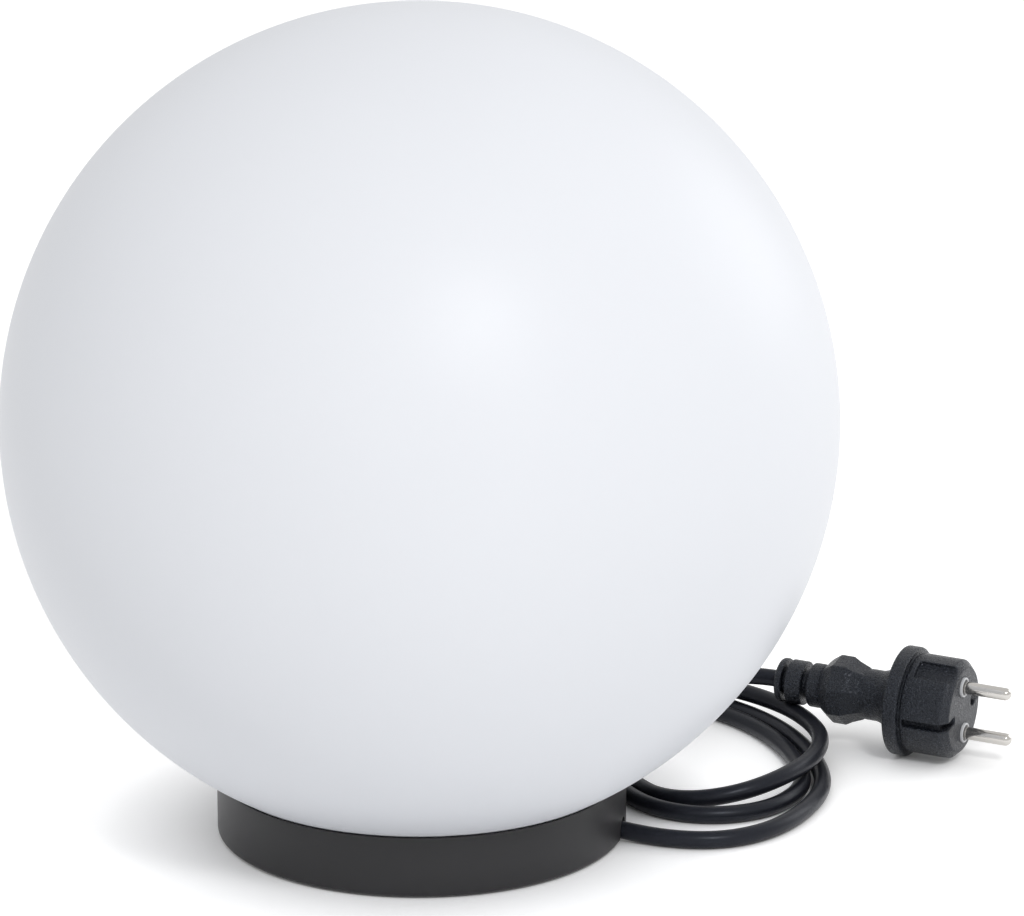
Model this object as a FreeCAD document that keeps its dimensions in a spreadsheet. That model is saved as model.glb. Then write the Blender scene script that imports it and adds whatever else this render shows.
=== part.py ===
# Garden globe light: a white opal ball on a low dark ring base, with a lamp holder and bulb
# inside and a rubber mains lead that lies in loose loops beside it.
#
# Millimetres. The origin is the centre of the underside on the floor, +Z is up and the front
# faces -Y. Every size stands once in the sheet below, and pieces that fit together read the
# same cells.

import FreeCAD, Part
import Sketcher

import math
import os
import re

Vector = FreeCAD.Vector

SIZES = (
    # the ball
    ("globe_diameter", 300.0, "outside of the ball"),
    ("globe_wall", 2.5, "wall of the ball and of its neck"),
    ("globe_bottom", 4.0, "height of the ball's lowest point above the floor"),
    # clearances
    ("seat_gap", 0.3, "gap between a piece that lifts off and its seat"),
    ("slip_gap", 0.1, "gap all round a piece in its hole"),
    ("channel_gap", 5.0, "gap between the ball's neck and the wall of the base"),
    ("turret_gap", 1.1, "gap between the ball's neck and the raised middle of the base"),
    # the base
    ("base_diameter", 149.0, "outside of the base ring"),
    ("base_wall", 3.5, "outer wall of the base"),
    ("base_lift", 0.6, "height of the base's lower rim over the floor"),
    ("base_rounding", 3.0, "rounding of the lower rim"),
    ("floor_height", 11.0, "top of the channel floor that the neck stands over"),
    ("floor_thickness", 2.0, "channel floor"),
    ("turret_wall", 2.2, "wall of the raised middle"),
    ("deck_height", 22.0, "top of the deck that carries the lamp holder"),
    ("deck_thickness", 2.0, "deck"),
    ("groove_backing", 2.0, "thicker wall behind the sealing ring's groove"),
    ("pod_diameter", 82.0, "wiring box under the deck"),
    ("pod_wall", 2.0, "wall of the wiring box"),
    ("pod_height", 4.0, "lower edge of the wiring box over the floor"),
    ("rib_thickness", 2.0, "ribs under the deck"),
    ("rib_depth", 7.0, "ribs under the deck, downwards"),
    ("rib_count", 8, "ribs under the deck"),
    # cover, gasket, screws and feet
    ("gasket_thickness", 0.8, "gasket between wiring box and cover"),
    ("cover_thickness", 1.6, "cover of the wiring box"),
    ("boss_diameter", 7.0, "bosses for the cover's screws"),
    ("boss_inset", 7.0, "the cover's screws, in from the outside of the wiring box"),
    ("cover_screws", 4, "screws of the cover"),
    ("screw_diameter", 3.0, "small screws"),
    ("screw_head_diameter", 5.6, "heads of the small screws"),
    ("screw_head_height", 1.1, "heads of the small screws"),
    ("screw_length", 9.0, "shank of a cover screw"),
    ("foot_diameter", 11.0, "rubber feet"),
    ("foot_height", 2.4, "rubber feet"),
    ("foot_pocket", 0.8, "depth of the pocket that holds a foot"),
    ("foot_inset", 10.4, "feet, in from the outside of the raised middle"),
    ("foot_boss_wall", 1.8, "boss round a foot"),
    ("foot_count", 4, "rubber feet"),
    # seal between neck and base
    ("seal_thickness", 2.6, "round section of the sealing ring"),
    ("seal_height", 15.5, "height of the sealing ring"),
    # lamp holder
    ("nipple_diameter", 10.0, "threaded tube through the deck"),
    ("nipple_bore", 7.0, "bore of the threaded tube"),
    ("nipple_bottom", 15.5, "lower end of the threaded tube"),
    ("nipple_top", 28.5, "upper end of the threaded tube"),
    ("nut_width", 14.0, "nuts of the threaded tube across flats"),
    ("nut_height", 2.8, "nuts of the threaded tube"),
    ("bracket_length", 46.0, "steel plate under the lamp holder"),
    ("bracket_width", 18.0, "steel plate under the lamp holder"),
    ("bracket_thickness", 1.2, "steel plate under the lamp holder"),
    ("bracket_spacing", 34.0, "screws of the steel plate"),
    ("holder_diameter", 39.0, "cap of the lamp holder"),
    ("holder_wall", 1.8, "walls of the lamp holder"),
    ("cap_height", 17.8, "cap of the lamp holder"),
    ("cap_foot_diameter", 24.0, "underside of the holder's cap"),
    ("carrier_thickness", 8.0, "insulator that carries the contacts"),
    ("carrier_seat", 8.8, "height of the carrier's ledge in the cap"),
    ("ledge_width", 1.7, "ledge that the carrier rests on"),
    ("skirt_height", 34.0, "outer ring of the lamp holder"),
    ("skirt_overlap", 7.0, "length of the ring that goes over the cap"),
    ("skirt_mouth", 34.0, "outside of the ring at its mouth"),
    ("shell_diameter", 28.2, "screw shell of the lamp holder, outside"),
    ("shell_wall", 0.5, "screw shell of the lamp holder"),
    ("shell_height", 26.0, "screw shell of the lamp holder"),
    ("contact_height", 1.4, "centre contact over its carrier"),
    ("contact_diameter", 6.4, "centre contact"),
    ("stem_diameter", 2.4, "stems of the contacts in the carrier"),
    ("stem_reach", 1.5, "stems of the contacts below the carrier"),
    # bulb
    ("bulb_length", 107.3, "bulb from tip to crown"),
    ("bulb_diameter", 60.0, "bulb at its widest"),
    ("bulb_wall", 1.3, "walls of the bulb"),
    ("cap_diameter", 26.2, "bulb cap over its thread"),
    ("cap_thread_depth", 1.0, "depth of the bulb cap's thread"),
    ("cap_thread_pitch", 3.6, "pitch of the bulb cap's thread"),
    ("cap_turns", 6, "turns of the bulb cap's thread"),
    ("cap_wall", 0.5, "sheet of the bulb cap"),
    ("tip_diameter", 9.6, "tip contact of the bulb"),
    ("tip_height", 1.5, "tip contact of the bulb"),
    ("insulator_height", 4.0, "glass between tip and cap"),
    ("bulb_body_top", 62.3, "upper edge of the bulb's housing over its tip"),
    ("led_board_thickness", 1.6, "board with the light emitters"),
    ("led_count", 10, "light emitters"),
    ("led_circle", 34.0, "circle of the light emitters"),
    ("led_width", 3.5, "light emitter"),
    ("led_height", 0.8, "light emitter"),
    ("driver_width", 19.0, "circuit board of the bulb"),
    ("driver_thickness", 1.4, "circuit board of the bulb"),
    ("driver_length", 46.0, "circuit board of the bulb"),
    # mains lead
    ("cord_diameter", 6.5, "rubber sheathed lead"),
    ("cord_rest", 3.3, "height of the lead's centre where it lies on the floor"),
    ("coil_step", 7.5, "from one loop to the next, side by side"),
    ("core_diameter", 2.2, "insulated core"),
    ("wire_diameter", 1.8, "wire from the terminal block to the holder"),
    ("cable_azimuth", -12.0, "direction in which the lead leaves the base, degrees"),
    ("cable_slope", 12.0, "how far the lead points down where it leaves the wiring box, degrees"),
    ("cable_height", 10.6, "height of the lead's centre in the wall of the wiring box"),
    ("relief_length", 18.0, "bend relief sleeve outside the wiring box"),
    ("relief_diameter", 9.6, "bend relief sleeve at its root"),
    ("relief_tip", 8.4, "bend relief sleeve at its tip"),
    ("relief_grooves", 4, "grooves of the bend relief"),
    ("relief_groove_depth", 0.7, "grooves of the bend relief"),
    ("relief_flange", 12.4, "flange of the bend relief inside the wiring box"),
    ("relief_flange_thickness", 1.6, "flange of the bend relief"),
    ("entry_diameter", 12.8, "boss round the bend relief in the wall of the wiring box"),
    ("entry_inside", 5.0, "how far that boss reaches in from the outside of the wall"),
    ("entry_outside", 1.2, "how far that boss stands out of the wall"),
    ("notch_width", 9.4, "notch in the base's wall for the lead"),
    ("notch_height", 4.1, "height of the notch's centre"),
    ("sheath_inside", 16.0, "sheath inside the wiring box"),
    ("clamp_length", 20.0, "cord clamp across the sheath"),
    ("clamp_width", 6.0, "cord clamp along the sheath"),
    ("clamp_thickness", 2.4, "cord clamp"),
    ("clamp_spacing", 13.0, "screws of the cord clamp"),
    ("terminal_length", 22.0, "terminal block"),
    ("terminal_width", 15.0, "terminal block"),
    ("terminal_height", 9.0, "terminal block"),
    ("terminal_spacing", 7.0, "poles of the terminal block"),
    ("terminal_side", 24.0, "distance of the terminal block from the middle"),
    # plug
    ("plug_diameter", 37.8, "front part of the plug"),
    ("plug_length", 19.6, "front part of the plug"),
    ("plug_chamfer", 2.8, "front edge of the plug"),
    ("flange_diameter", 41.7, "flange of the plug"),
    ("flange_thickness", 5.8, "flange of the plug"),
    ("waist_diameter", 19.4, "waist of the plug"),
    ("collar_diameter", 26.3, "faceted grip of the plug"),
    ("sleeve_diameter", 16.9, "ribbed sleeve of the plug"),
    ("sleeve_length", 18.8, "ribbed sleeve of the plug"),
    ("sleeve_core", 10.4, "bottom of the sleeve's grooves"),
    ("plug_tail", 51.9, "end of the sleeve behind the flange's middle"),
    ("pin_diameter", 4.8, "plug pins"),
    ("pin_reach", 19.0, "plug pins over the plug's face"),
    ("pin_spacing", 19.0, "plug pins"),
    ("pin_root", 4.0, "root of a pin inside its insulating ring"),
    ("ring_diameter", 7.6, "insulating ring round a pin"),
    ("ring_proud", 0.8, "insulating ring over the plug's face"),
    ("ring_depth", 5.0, "insulating ring inside the plug"),
    ("earth_width", 2.9, "side slots of the plug"),
    ("earth_depth", 2.8, "side slots of the plug"),
    ("earth_hole", 5.0, "blind hole beside the pins"),
    ("guide_width", 8.4, "guide grooves of the plug"),
    ("guide_depth", 2.0, "guide grooves of the plug"),
    ("guide_start", 3.4, "guide grooves, from the flange on"),
    ("guide_turn", 20.0, "guide grooves, turned from the line of the pins, degrees"),
    ("plug_x", 183.8, "middle of the plug's flange"),
    ("plug_y", 76.7, "middle of the plug's flange"),
    ("plug_azimuth", -26.0, "direction of the plug's pins, degrees"),
    ("plug_nod", 1.2, "how far the plug points down, degrees"),
    ("plug_spin", 7.6, "turn of the plug about its own axis, degrees"),
)

NAMES = {name for name, value, meaning in SIZES}

# Sizes that follow from those in the sheet.
DERIVED = {
    "globe_centre": "globe_bottom + globe_diameter / 2",
    "neck_diameter": "base_diameter - 2 * base_wall - 2 * channel_gap",
    "turret_diameter": "neck_diameter - 2 * globe_wall - 2 * turret_gap",
    "boss_circle": "pod_diameter - 2 * boss_inset",
    "foot_circle": "turret_diameter - 2 * foot_inset",
}

# The lead's way over the floor: from the bend relief to the first loop, ...
LEAD_POINTS = (
    (90.8, -24.4, 3.3),
    (109.6, -25.4, 3.3),
    (126.7, -15.4, 3.3),
    (140.1, 4.0, 3.3),
)
# ... one loop, seen from above against the clock, drawn once and repeated a step further in, ...
LOOP_POINTS = (
    (82.5, 11.1),
    (97.5, 1.2),
    (115.4, 1.0),
    (131.6, 11.0),
    (142.3, 32.2),
    (141.0, 59.0),
    (134.5, 84.0),
    (123.0, 106.0),
    (105.5, 124.5),
    (84.0, 138.0),
    (60.0, 147.0),
    (37.0, 151.7),
    (14.2, 151.4),
    (-4.6, 141.3),
    (-13.8, 122.0),
    (-10.4, 102.1),
    (4.1, 87.6),
    (23.9, 84.2),
    (43.0, 76.5),
    (59.5, 64.5),
    (73.9, 49.1),
    (79.8, 32.8),
)
LOOP_START = 4  # the first loop begins at this point, where the lead reaches it
LOOP_END = 19  # the last loop gives way to the tail before this point
LOOP_TURNS = 2
# ... and over the loops, round once more on top of them and up to the plug.
TAIL_POINTS = (
    (59.5, 64.5, 3.3),
    (73.9, 49.1, 3.3),
    (79.8, 32.8, 3.3),
    (87.7, 19.5, 3.6),
    (101.2, 11.4, 5.4),
    (117.6, 11.0, 8.3),
    (133.1, 19.8, 11.0),
    (145.7, 39.3, 11.2),
    (151.0, 64.0, 10.6),
    (147.0, 86.0, 10.2),
    (137.5, 105.0, 10.2),
    (121.0, 122.5, 10.2),
    (98.0, 137.5, 10.4),
    (72.0, 147.0, 10.6),
    (45.5, 150.2, 10.6),
    (24.5, 144.5, 8.6),
    (12.2, 126.3, 5.2),
    (14.9, 104.5, 3.5),
    (31.2, 89.8, 3.3),
    (53.2, 89.4, 3.4),
    (75.5, 97.5, 6.6),
    (97.5, 106.0, 16.2),
)
RELIEF_RUN = 15.8  # the lead runs straight for this length behind the bend relief
PLUG_RUN = 18.0  # and for this length before the plug's sleeve
ARC_SHARE = 0.45  # how much of its shorter run an arc takes at each end
LOOP_SHARE = 0.48  # the same in the loops
WIRE_BEND = 2.2  # bends of the thin wires in the base
# Grooves of the plug's sleeve: distance from its end, and width.
SLEEVE_GROOVES = ((18.2, 0.8), (12.1, 2.5), (3.6, 1.7))
# The plug's faceted grip: distance from the sleeve's root, and share of the grip's radius.
GRIP_STATIONS = ((-0.2, 0.69), (1.5, 0.83), (4.6, 1.0), (9.8, 1.0), (12.4, 0.89), (16.5, 0.77))
GRIP_SIDES = 8

doc = FreeCAD.newDocument("garden_globe_light")
nodes = {}


# ---------------------------------------------------------------- sheet and helpers

def make_sheet():
    sheet = doc.addObject("Spreadsheet::Sheet", "sizes")
    for row, (name, value, meaning) in enumerate(SIZES, start=1):
        sheet.set(f"A{row}", meaning)
        sheet.set(f"B{row}", str(value))
        sheet.setAlias(f"B{row}", name)
    doc.recompute()
    return sheet


sheet = make_sheet()


def reference(found):
    """What a word of a formula stands for: a cell, a derived size or itself."""
    word = found.group()
    if word in DERIVED:
        return f"({formula(DERIVED[word])})"
    if word in NAMES:
        return "sizes." + word
    return word


def formula(text):
    """Size names in a formula become references to the sheet's cells."""
    return re.sub(r"[a-z][a-z_0-9]*", reference, str(text))


def worth(text):
    """The number that a formula gives with the sheet's present values."""
    return float(sheet.evalExpression(formula(text)))


def size(name):
    """The number that a size's name stands for."""
    return worth(name)


def bind(item, settings):
    for prop, text in settings.items():
        item.setExpression(prop, formula(text))


def at(item, x=None, y=None, z=None):
    given = {"x": x, "y": y, "z": z}
    bind(item, {f"Placement.Base.{axis}": text for axis, text in given.items() if text is not None})
    return item


def cylinder(name, radius, height, x=None, y=None, z=None):
    item = doc.addObject("Part::Cylinder", name)
    bind(item, {"Radius": radius, "Height": height})
    return at(item, x, y, z)


def cone(name, low_radius, high_radius, height, x=None, y=None, z=None):
    item = doc.addObject("Part::Cone", name)
    bind(item, {"Radius1": low_radius, "Radius2": high_radius, "Height": height})
    return at(item, x, y, z)


def ball(name, radius, z):
    item = doc.addObject("Part::Sphere", name)
    bind(item, {"Radius": radius})
    return at(item, z=z)


def block(name, length, width, height, x=None, y=None, z=None):
    item = doc.addObject("Part::Box", name)
    bind(item, {"Length": length, "Width": width, "Height": height})
    return at(item, x, y, z)


def hexagon(name, across, height, z):
    item = doc.addObject("Part::Prism", name)
    item.Polygon = 6
    bind(item, {"Circumradius": f"({across}) / 2 / cos(30)", "Height": height})
    return at(item, z=z)


def cut(name, base, tool):
    item = doc.addObject("Part::Cut", name)
    item.Base = base
    item.Tool = tool
    return item


def fuse(name, pieces):
    item = doc.addObject("Part::MultiFuse", name)
    item.Shapes = pieces
    return item


def group(name, pieces):
    """Like pieces side by side, each its own solid."""
    item = doc.addObject("Part::Compound", name)
    item.Links = pieces
    return item


def keep(node, item):
    """The object becomes the sub-part of that name."""
    item.Label = node
    nodes[node] = item
    return item


def origin_plane(body, role):
    return next(feature for feature in body.Origin.OriginFeatures if feature.Role == role)


def turned_body(name, outline):
    """A solid turned about Z. The outline is a closed list of (radius, height) formulas."""
    body = doc.addObject("PartDesign::Body", name)
    sketch = body.newObject("Sketcher::SketchObject", name + "_outline")
    sketch.AttachmentSupport = [(origin_plane(body, "XZ_Plane"), "")]
    sketch.MapMode = "FlatFace"
    corners = [Vector(worth(radius), worth(height), 0) for radius, height in outline]
    for index, corner in enumerate(corners):
        following = corners[(index + 1) % len(corners)]
        sketch.addGeometry(Part.LineSegment(corner, following), False)
    for index in range(len(corners)):
        sketch.addConstraint(Sketcher.Constraint("Coincident", index, 2, (index + 1) % len(corners), 1))
    for index, (radius, height) in enumerate(outline):
        hold_corner(sketch, index, "X", radius, corners[index].x)
        hold_corner(sketch, index, "Y", height, corners[index].y)
    turning = body.newObject("PartDesign::Revolution", name + "_turning")
    turning.Profile = sketch
    turning.ReferenceAxis = (sketch, ["V_Axis"])
    turning.Angle = 360.0
    return body


def round_edge(body, radius, height, rounding):
    """Rounds the ring edge of that radius and height."""
    doc.recompute()
    base = body.Tip
    wanted = Vector(worth(radius), worth(height))
    names = [
        f"Edge{number}" for number, edge in enumerate(base.Shape.Edges, start=1)
        if hasattr(edge.Curve, "Radius")
        and abs(edge.Curve.Radius - wanted.x) < 0.001
        and abs(edge.Curve.Center.z - wanted.y) < 0.001
    ]
    fillet = body.newObject("PartDesign::Fillet", body.Name + "_rounding")
    fillet.Base = (base, names)
    bind(fillet, {"Radius": rounding})


def hold_corner(sketch, index, direction, text, value):
    """Ties one coordinate of a corner to its formula, or to the axis where it is nought."""
    if str(text) == "0":
        axis = -2 if direction == "X" else -1
        sketch.addConstraint(Sketcher.Constraint("PointOnObject", index, 1, axis))
        return
    number = sketch.addConstraint(Sketcher.Constraint("Distance" + direction, -1, 1, index, 1, value))
    name = f"corner_{index}_{direction.lower()}"
    sketch.renameConstraint(number, name)
    sketch.setExpression("Constraints." + name, formula(text))


def solid_feature(name, shape, place=None):
    """A piece whose shape is worked out below from the sheet's sizes."""
    item = doc.addObject("Part::Feature", name)
    item.Shape = shape
    if place is not None:
        item.Placement = place
    return item


def around(count, circle, start=0.0):
    """Places evenly round the middle, as pairs of formulas."""
    for index in range(int(count)):
        angle = start + 360.0 * index / int(count)
        yield f"{circle} / 2 * cos({angle})", f"{circle} / 2 * sin({angle})"


# ---------------------------------------------------------------- frames of lead and plug

def cable_frame():
    """+X runs out along the lead through the wall of the wiring box."""
    azimuth = math.radians(size("cable_azimuth"))
    reach = size("pod_diameter") / 2
    origin = Vector(reach * math.cos(azimuth), reach * math.sin(azimuth), size("cable_height"))
    turn = FreeCAD.Rotation(Vector(0, 0, 1), size("cable_azimuth"))
    dip = FreeCAD.Rotation(Vector(0, 1, 0), size("cable_slope"))
    return FreeCAD.Placement(origin, turn.multiply(dip))


def plug_frame():
    """+X runs along the pins, the origin is the middle of the flange."""
    dip = math.sin(math.radians(size("plug_nod")))
    height = size("flange_diameter") / 2 + size("flange_thickness") / 2 * dip
    turn = FreeCAD.Rotation(Vector(0, 0, 1), size("plug_azimuth"))
    nod = FreeCAD.Rotation(Vector(0, 1, 0), size("plug_nod"))
    spin = FreeCAD.Rotation(Vector(1, 0, 0), size("plug_spin"))
    middle = Vector(size("plug_x"), size("plug_y"), height)
    return FreeCAD.Placement(middle, turn.multiply(nod).multiply(spin))


CABLE = cable_frame()
PLUG = plug_frame()
LYING = FreeCAD.Rotation(Vector(0, 1, 0), 90)  # turns +Z to +X


def along(frame, x, y=0.0, z=0.0):
    return frame.multVec(Vector(x, y, z))


def lying(frame, x, y=0.0, z=0.0):
    """Placement of a piece turned about Z that is to lie along the frame's +X."""
    return frame.multiply(FreeCAD.Placement(Vector(x, y, z), LYING))


# ---------------------------------------------------------------- tubes

def rounded_path(points, share, straight_ends, largest):
    """Straight runs joined by tangent arcs. An arc takes the share of its shorter run."""
    edges = []
    radii = []
    start = points[0]
    last = len(points) - 2
    for index in range(1, len(points) - 1):
        corner = points[index]
        back = points[index - 1] - corner
        ahead = points[index + 1] - corner
        turn = math.pi - back.getAngle(ahead)
        reach = share * min(back.Length, ahead.Length)
        if index == 1:
            reach = min(reach, back.Length - straight_ends)
        if index == last:
            reach = min(reach, ahead.Length - straight_ends)
        reach = min(reach, largest * math.tan(turn / 2))
        back.normalize()
        ahead.normalize()
        radius = reach / math.tan(turn / 2)
        radii.append(radius)
        entry = corner + back * reach
        leave = corner + ahead * reach
        towards = (back + ahead).normalize()
        middle = corner + towards * (radius / math.cos(turn / 2) - radius)
        if (entry - start).Length > 0.01:
            edges.append(Part.LineSegment(start, entry).toShape())
        edges.append(Part.Arc(entry, middle, leave).toShape())
        start = leave
    edges.append(Part.LineSegment(start, points[-1]).toShape())
    return Part.Wire(edges), radii


def swept_tube(path, radius):
    first = path.Edges[0]
    direction = first.tangentAt(first.FirstParameter)
    ring = Part.Wire(Part.Circle(path.Vertexes[0].Point, direction, radius).toShape())
    return path.makePipeShell([ring], True, False)


def tube_node(node, points, diameter, share=ARC_SHARE, straight_ends=0.0, largest=math.inf):
    path, radii = rounded_path(points, share, straight_ends, largest)
    shape = swept_tube(path, diameter / 2)
    section = math.pi * diameter ** 2 / 4
    item = keep(node, solid_feature(node, shape))
    print(f"{node}: length {path.Length:.1f}, volume {shape.Volume:.0f} of {section * path.Length:.0f},"
          f" smallest radius {min(radii):.1f}, radii {[round(radius, 1) for radius in radii]}")
    return path


def least_gap(path, diameter):
    """The least clear distance of a wound tube to itself, measured on points along it."""
    points = path.discretize(Distance=3.0)
    apart = int(6 * diameter / 3.0)
    least = min(
        (points[first] - points[second]).Length
        for first in range(len(points))
        for second in range(first + apart, len(points))
    )
    return least - diameter


# ---------------------------------------------------------------- the ball

def make_globe():
    outside = ball("globe_outside", "globe_diameter / 2", "globe_centre")
    inside = ball("globe_inside", "globe_diameter / 2 - globe_wall", "globe_centre")
    neck_height = "globe_centre - floor_height - seat_gap"
    neck = cylinder("neck_outside", "neck_diameter / 2", neck_height, z="floor_height + seat_gap")
    bore = cylinder("neck_bore", "neck_diameter / 2 - globe_wall", "globe_centre - globe_diameter / 4")
    body = fuse("globe_body", [outside, neck])
    hollow = fuse("globe_hollow", [inside, bore])
    keep("globe_shell", cut("globe_shell", body, hollow))


# ---------------------------------------------------------------- the base

def rim_height(radius):
    """Height of the base's rim, which follows the ball a seat gap and a little below it."""
    return f"globe_centre - sqrt((globe_diameter / 2 + seat_gap + slip_gap) ^ 2 - ({radius}) ^ 2)"


def make_base_housing():
    outer = "base_diameter / 2"
    inner = "base_diameter / 2 - base_wall"
    turret = "turret_diameter / 2"
    turret_in = "turret_diameter / 2 - turret_wall"
    pod = "pod_diameter / 2"
    pod_in = "pod_diameter / 2 - pod_wall"
    under_deck = "deck_height - deck_thickness"
    under_floor = "floor_height - floor_thickness"
    groove_low = "seal_height - seal_thickness / 2 - slip_gap"
    groove_high = "seal_height + seal_thickness / 2 + slip_gap"
    groove_in = "neck_diameter / 2 - globe_wall - seat_gap - seal_thickness - slip_gap"
    profile = turned_body("base_turned", [
        ("nipple_diameter / 2 + slip_gap", "deck_height"),
        (f"{turret} - 1", "deck_height"),
        (turret, "deck_height - 1"),
        (turret, groove_high),
        (groove_in, groove_high),
        (groove_in, groove_low),
        (turret, groove_low),
        (turret, "floor_height"),
        (inner, "floor_height"),
        (inner, rim_height(inner)),
        (outer, rim_height(outer)),
        (outer, "base_lift"),
        (inner, "base_lift"),
        (inner, under_floor),
        (turret_in, under_floor),
        (turret_in, f"{groove_low} - groove_backing"),
        (f"{turret_in} - groove_backing", groove_low),
        (f"{turret_in} - groove_backing", under_deck),
        (pod, under_deck),
        (pod, "pod_height"),
        (pod_in, "pod_height"),
        (pod_in, under_deck),
        ("nipple_diameter / 2 + slip_gap", under_deck),
    ])
    round_edge(profile, outer, "base_lift", "base_rounding")
    added = [profile]
    taken = []
    cover_top = "pod_height - gasket_thickness"
    for index, (x, y) in enumerate(around(size("cover_screws"), "boss_circle", 45)):
        added.append(cylinder(f"cover_boss_{index}", "boss_diameter / 2",
                              f"{under_deck} - ({cover_top})", x, y, cover_top))
        taken.append(cylinder(f"cover_pilot_{index}", "screw_diameter / 2 + slip_gap", "screw_length",
                              x, y, cover_top))
    for index, (x, y) in enumerate(around(size("foot_count"), "foot_circle", 45)):
        low = "foot_height - foot_pocket"
        added.append(cylinder(f"foot_boss_{index}", "foot_diameter / 2 + foot_boss_wall",
                              f"{under_deck} - ({low})", x, y, low))
        taken.append(cylinder(f"foot_seat_{index}", "foot_diameter / 2 + slip_gap", "foot_pocket", x, y, low))
    added += make_ribs()
    added += make_clamp_saddle()
    added += make_entry_boss()
    for index, side in enumerate((-1, 1)):
        taken.append(cylinder(f"bracket_pilot_{index}", "screw_diameter / 2 + slip_gap", "deck_thickness * 3",
                              f"{side} * bracket_spacing / 2", "0", "deck_height - deck_thickness * 2"))
    taken += make_cable_openings()
    solid = fuse("base_solid", added)
    keep("base_housing", cut("base_housing", solid, fuse("base_openings", taken)))


def make_ribs():
    ribs = []
    count = int(size("rib_count"))
    for index in range(count):
        rib = block(f"rib_{index}", "(turret_diameter - pod_diameter) / 2 - turret_wall - groove_backing + 1",
                    "rib_thickness", "rib_depth + deck_thickness / 2")
        angle = 360.0 * (index + 0.5) / count + 22.5
        rib.Placement.Rotation = FreeCAD.Rotation(Vector(0, 0, 1), angle)
        reach = "(pod_diameter / 2 - 0.5)"
        at(rib, f"{reach} * cos({angle}) + rib_thickness / 2 * sin({angle})",
           f"{reach} * sin({angle}) - rib_thickness / 2 * cos({angle})",
           "deck_height - deck_thickness - rib_depth")
        ribs.append(rib)
    return ribs


def clamp_middle():
    """Where the cord clamp sits along the lead, inside the wiring box."""
    return relief_end() - 0.6 - size("clamp_width") / 2


def relief_end():
    """The inner end of the bend relief."""
    return -size("entry_inside") - size("slip_gap") - size("relief_flange_thickness")


def make_clamp_saddle():
    """A block under the deck that the cord clamp presses the sheath against."""
    length = size("clamp_length")
    width = size("clamp_width")
    top = size("deck_height") - size("deck_thickness") / 2
    low = Part.makeBox(width, length, 2 * top, Vector(clamp_middle() - width / 2, -length / 2, 0))
    low.Placement = CABLE.multiply(low.Placement)
    roof = Part.makeCylinder(size("base_diameter") / 2, top)
    bar = low.common(roof)
    hollow = Part.makeCylinder(size("cord_diameter") / 2 + size("slip_gap"), 2 * width,
                               Vector(clamp_middle() - width, 0, 0), Vector(1, 0, 0))
    hollow.Placement = CABLE
    pilots = []
    for side in (-1, 1):
        pilot = Part.makeCylinder(size("screw_diameter") / 2 + size("slip_gap"), 9.0,
                                  Vector(clamp_middle(), side * size("clamp_spacing") / 2, -1), Vector(0, 0, 1))
        pilot.Placement = CABLE
        pilots.append(pilot)
    return [solid_feature("clamp_saddle", bar.cut(hollow.fuse(pilots)))]


def make_entry_boss():
    """A round boss in the wall of the wiring box, square to the lead."""
    length = size("entry_inside") + size("entry_outside")
    boss = cylinder("entry_boss", "entry_diameter / 2", "entry_inside + entry_outside")
    boss.Placement = lying(CABLE, size("entry_outside") - length)
    return [boss]


def make_cable_openings():
    """The hole for the bend relief, the groove under the floor and the notch in the outer wall."""
    hole = cylinder("relief_hole", "relief_diameter / 2 + slip_gap", "entry_inside + entry_outside + 2")
    hole.Placement = lying(CABLE, -size("entry_inside") - 1)
    groove = cylinder("floor_groove", "cord_diameter / 2 + slip_gap * 4", "relief_length")
    groove.Placement = lying(CABLE, size("relief_length") / 2)
    azimuth = FreeCAD.Rotation(Vector(0, 0, 1), size("cable_azimuth"))
    direction = azimuth.multVec(Vector(1, 0, 0))
    start = direction * (size("base_diameter") / 2 - size("base_wall") - 3)
    arch = cylinder("notch_arch", "notch_width / 2", "base_wall + 6")
    arch.Placement = FreeCAD.Placement(start + Vector(0, 0, size("notch_height")), azimuth.multiply(LYING))
    gap = block("notch_gap", "base_wall + 6", "notch_width", "notch_height + 2")
    corner = start + azimuth.multVec(Vector(0, -size("notch_width") / 2, 0))
    gap.Placement = FreeCAD.Placement(corner - Vector(0, 0, 2), azimuth)
    return [hole, groove, arch, gap]


def make_cover():
    thickness = "cover_thickness"
    top = "pod_height - gasket_thickness"
    low = f"{top} - {thickness}"
    disc = cylinder("cover_disc", "pod_diameter / 2", thickness, z=low)
    holes = []
    screws = []
    for index, (x, y) in enumerate(around(size("cover_screws"), "boss_circle", 45)):
        holes.append(cylinder(f"cover_hole_{index}", "screw_diameter / 2 + slip_gap", thickness, x, y, low))
        shank = cylinder(f"cover_shank_{index}", "screw_diameter / 2", f"screw_length + {thickness} - 1",
                         x, y, low)
        head = cylinder(f"cover_head_{index}", "screw_head_diameter / 2", "screw_head_height",
                        x, y, f"{low} - screw_head_height")
        slot = block(f"cover_slot_{index}", "screw_head_diameter", "0.7", "0.6",
                     f"{x} - screw_head_diameter / 2", f"{y} - 0.35", f"{low} - screw_head_height")
        screws.append(cut(f"cover_screw_{index}", fuse(f"cover_blank_{index}", [shank, head]), slot))
    keep("base_cover", cut("base_cover", disc, fuse("cover_holes", holes)))
    keep("cover_screws", group("cover_screw_group", screws))
    ring = cylinder("gasket_disc", "pod_diameter / 2", "gasket_thickness", z=top)
    window = cylinder("gasket_window", "pod_diameter / 2 - pod_wall", "gasket_thickness", z=top)
    keep("cover_gasket", cut("cover_gasket", ring, window))


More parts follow.
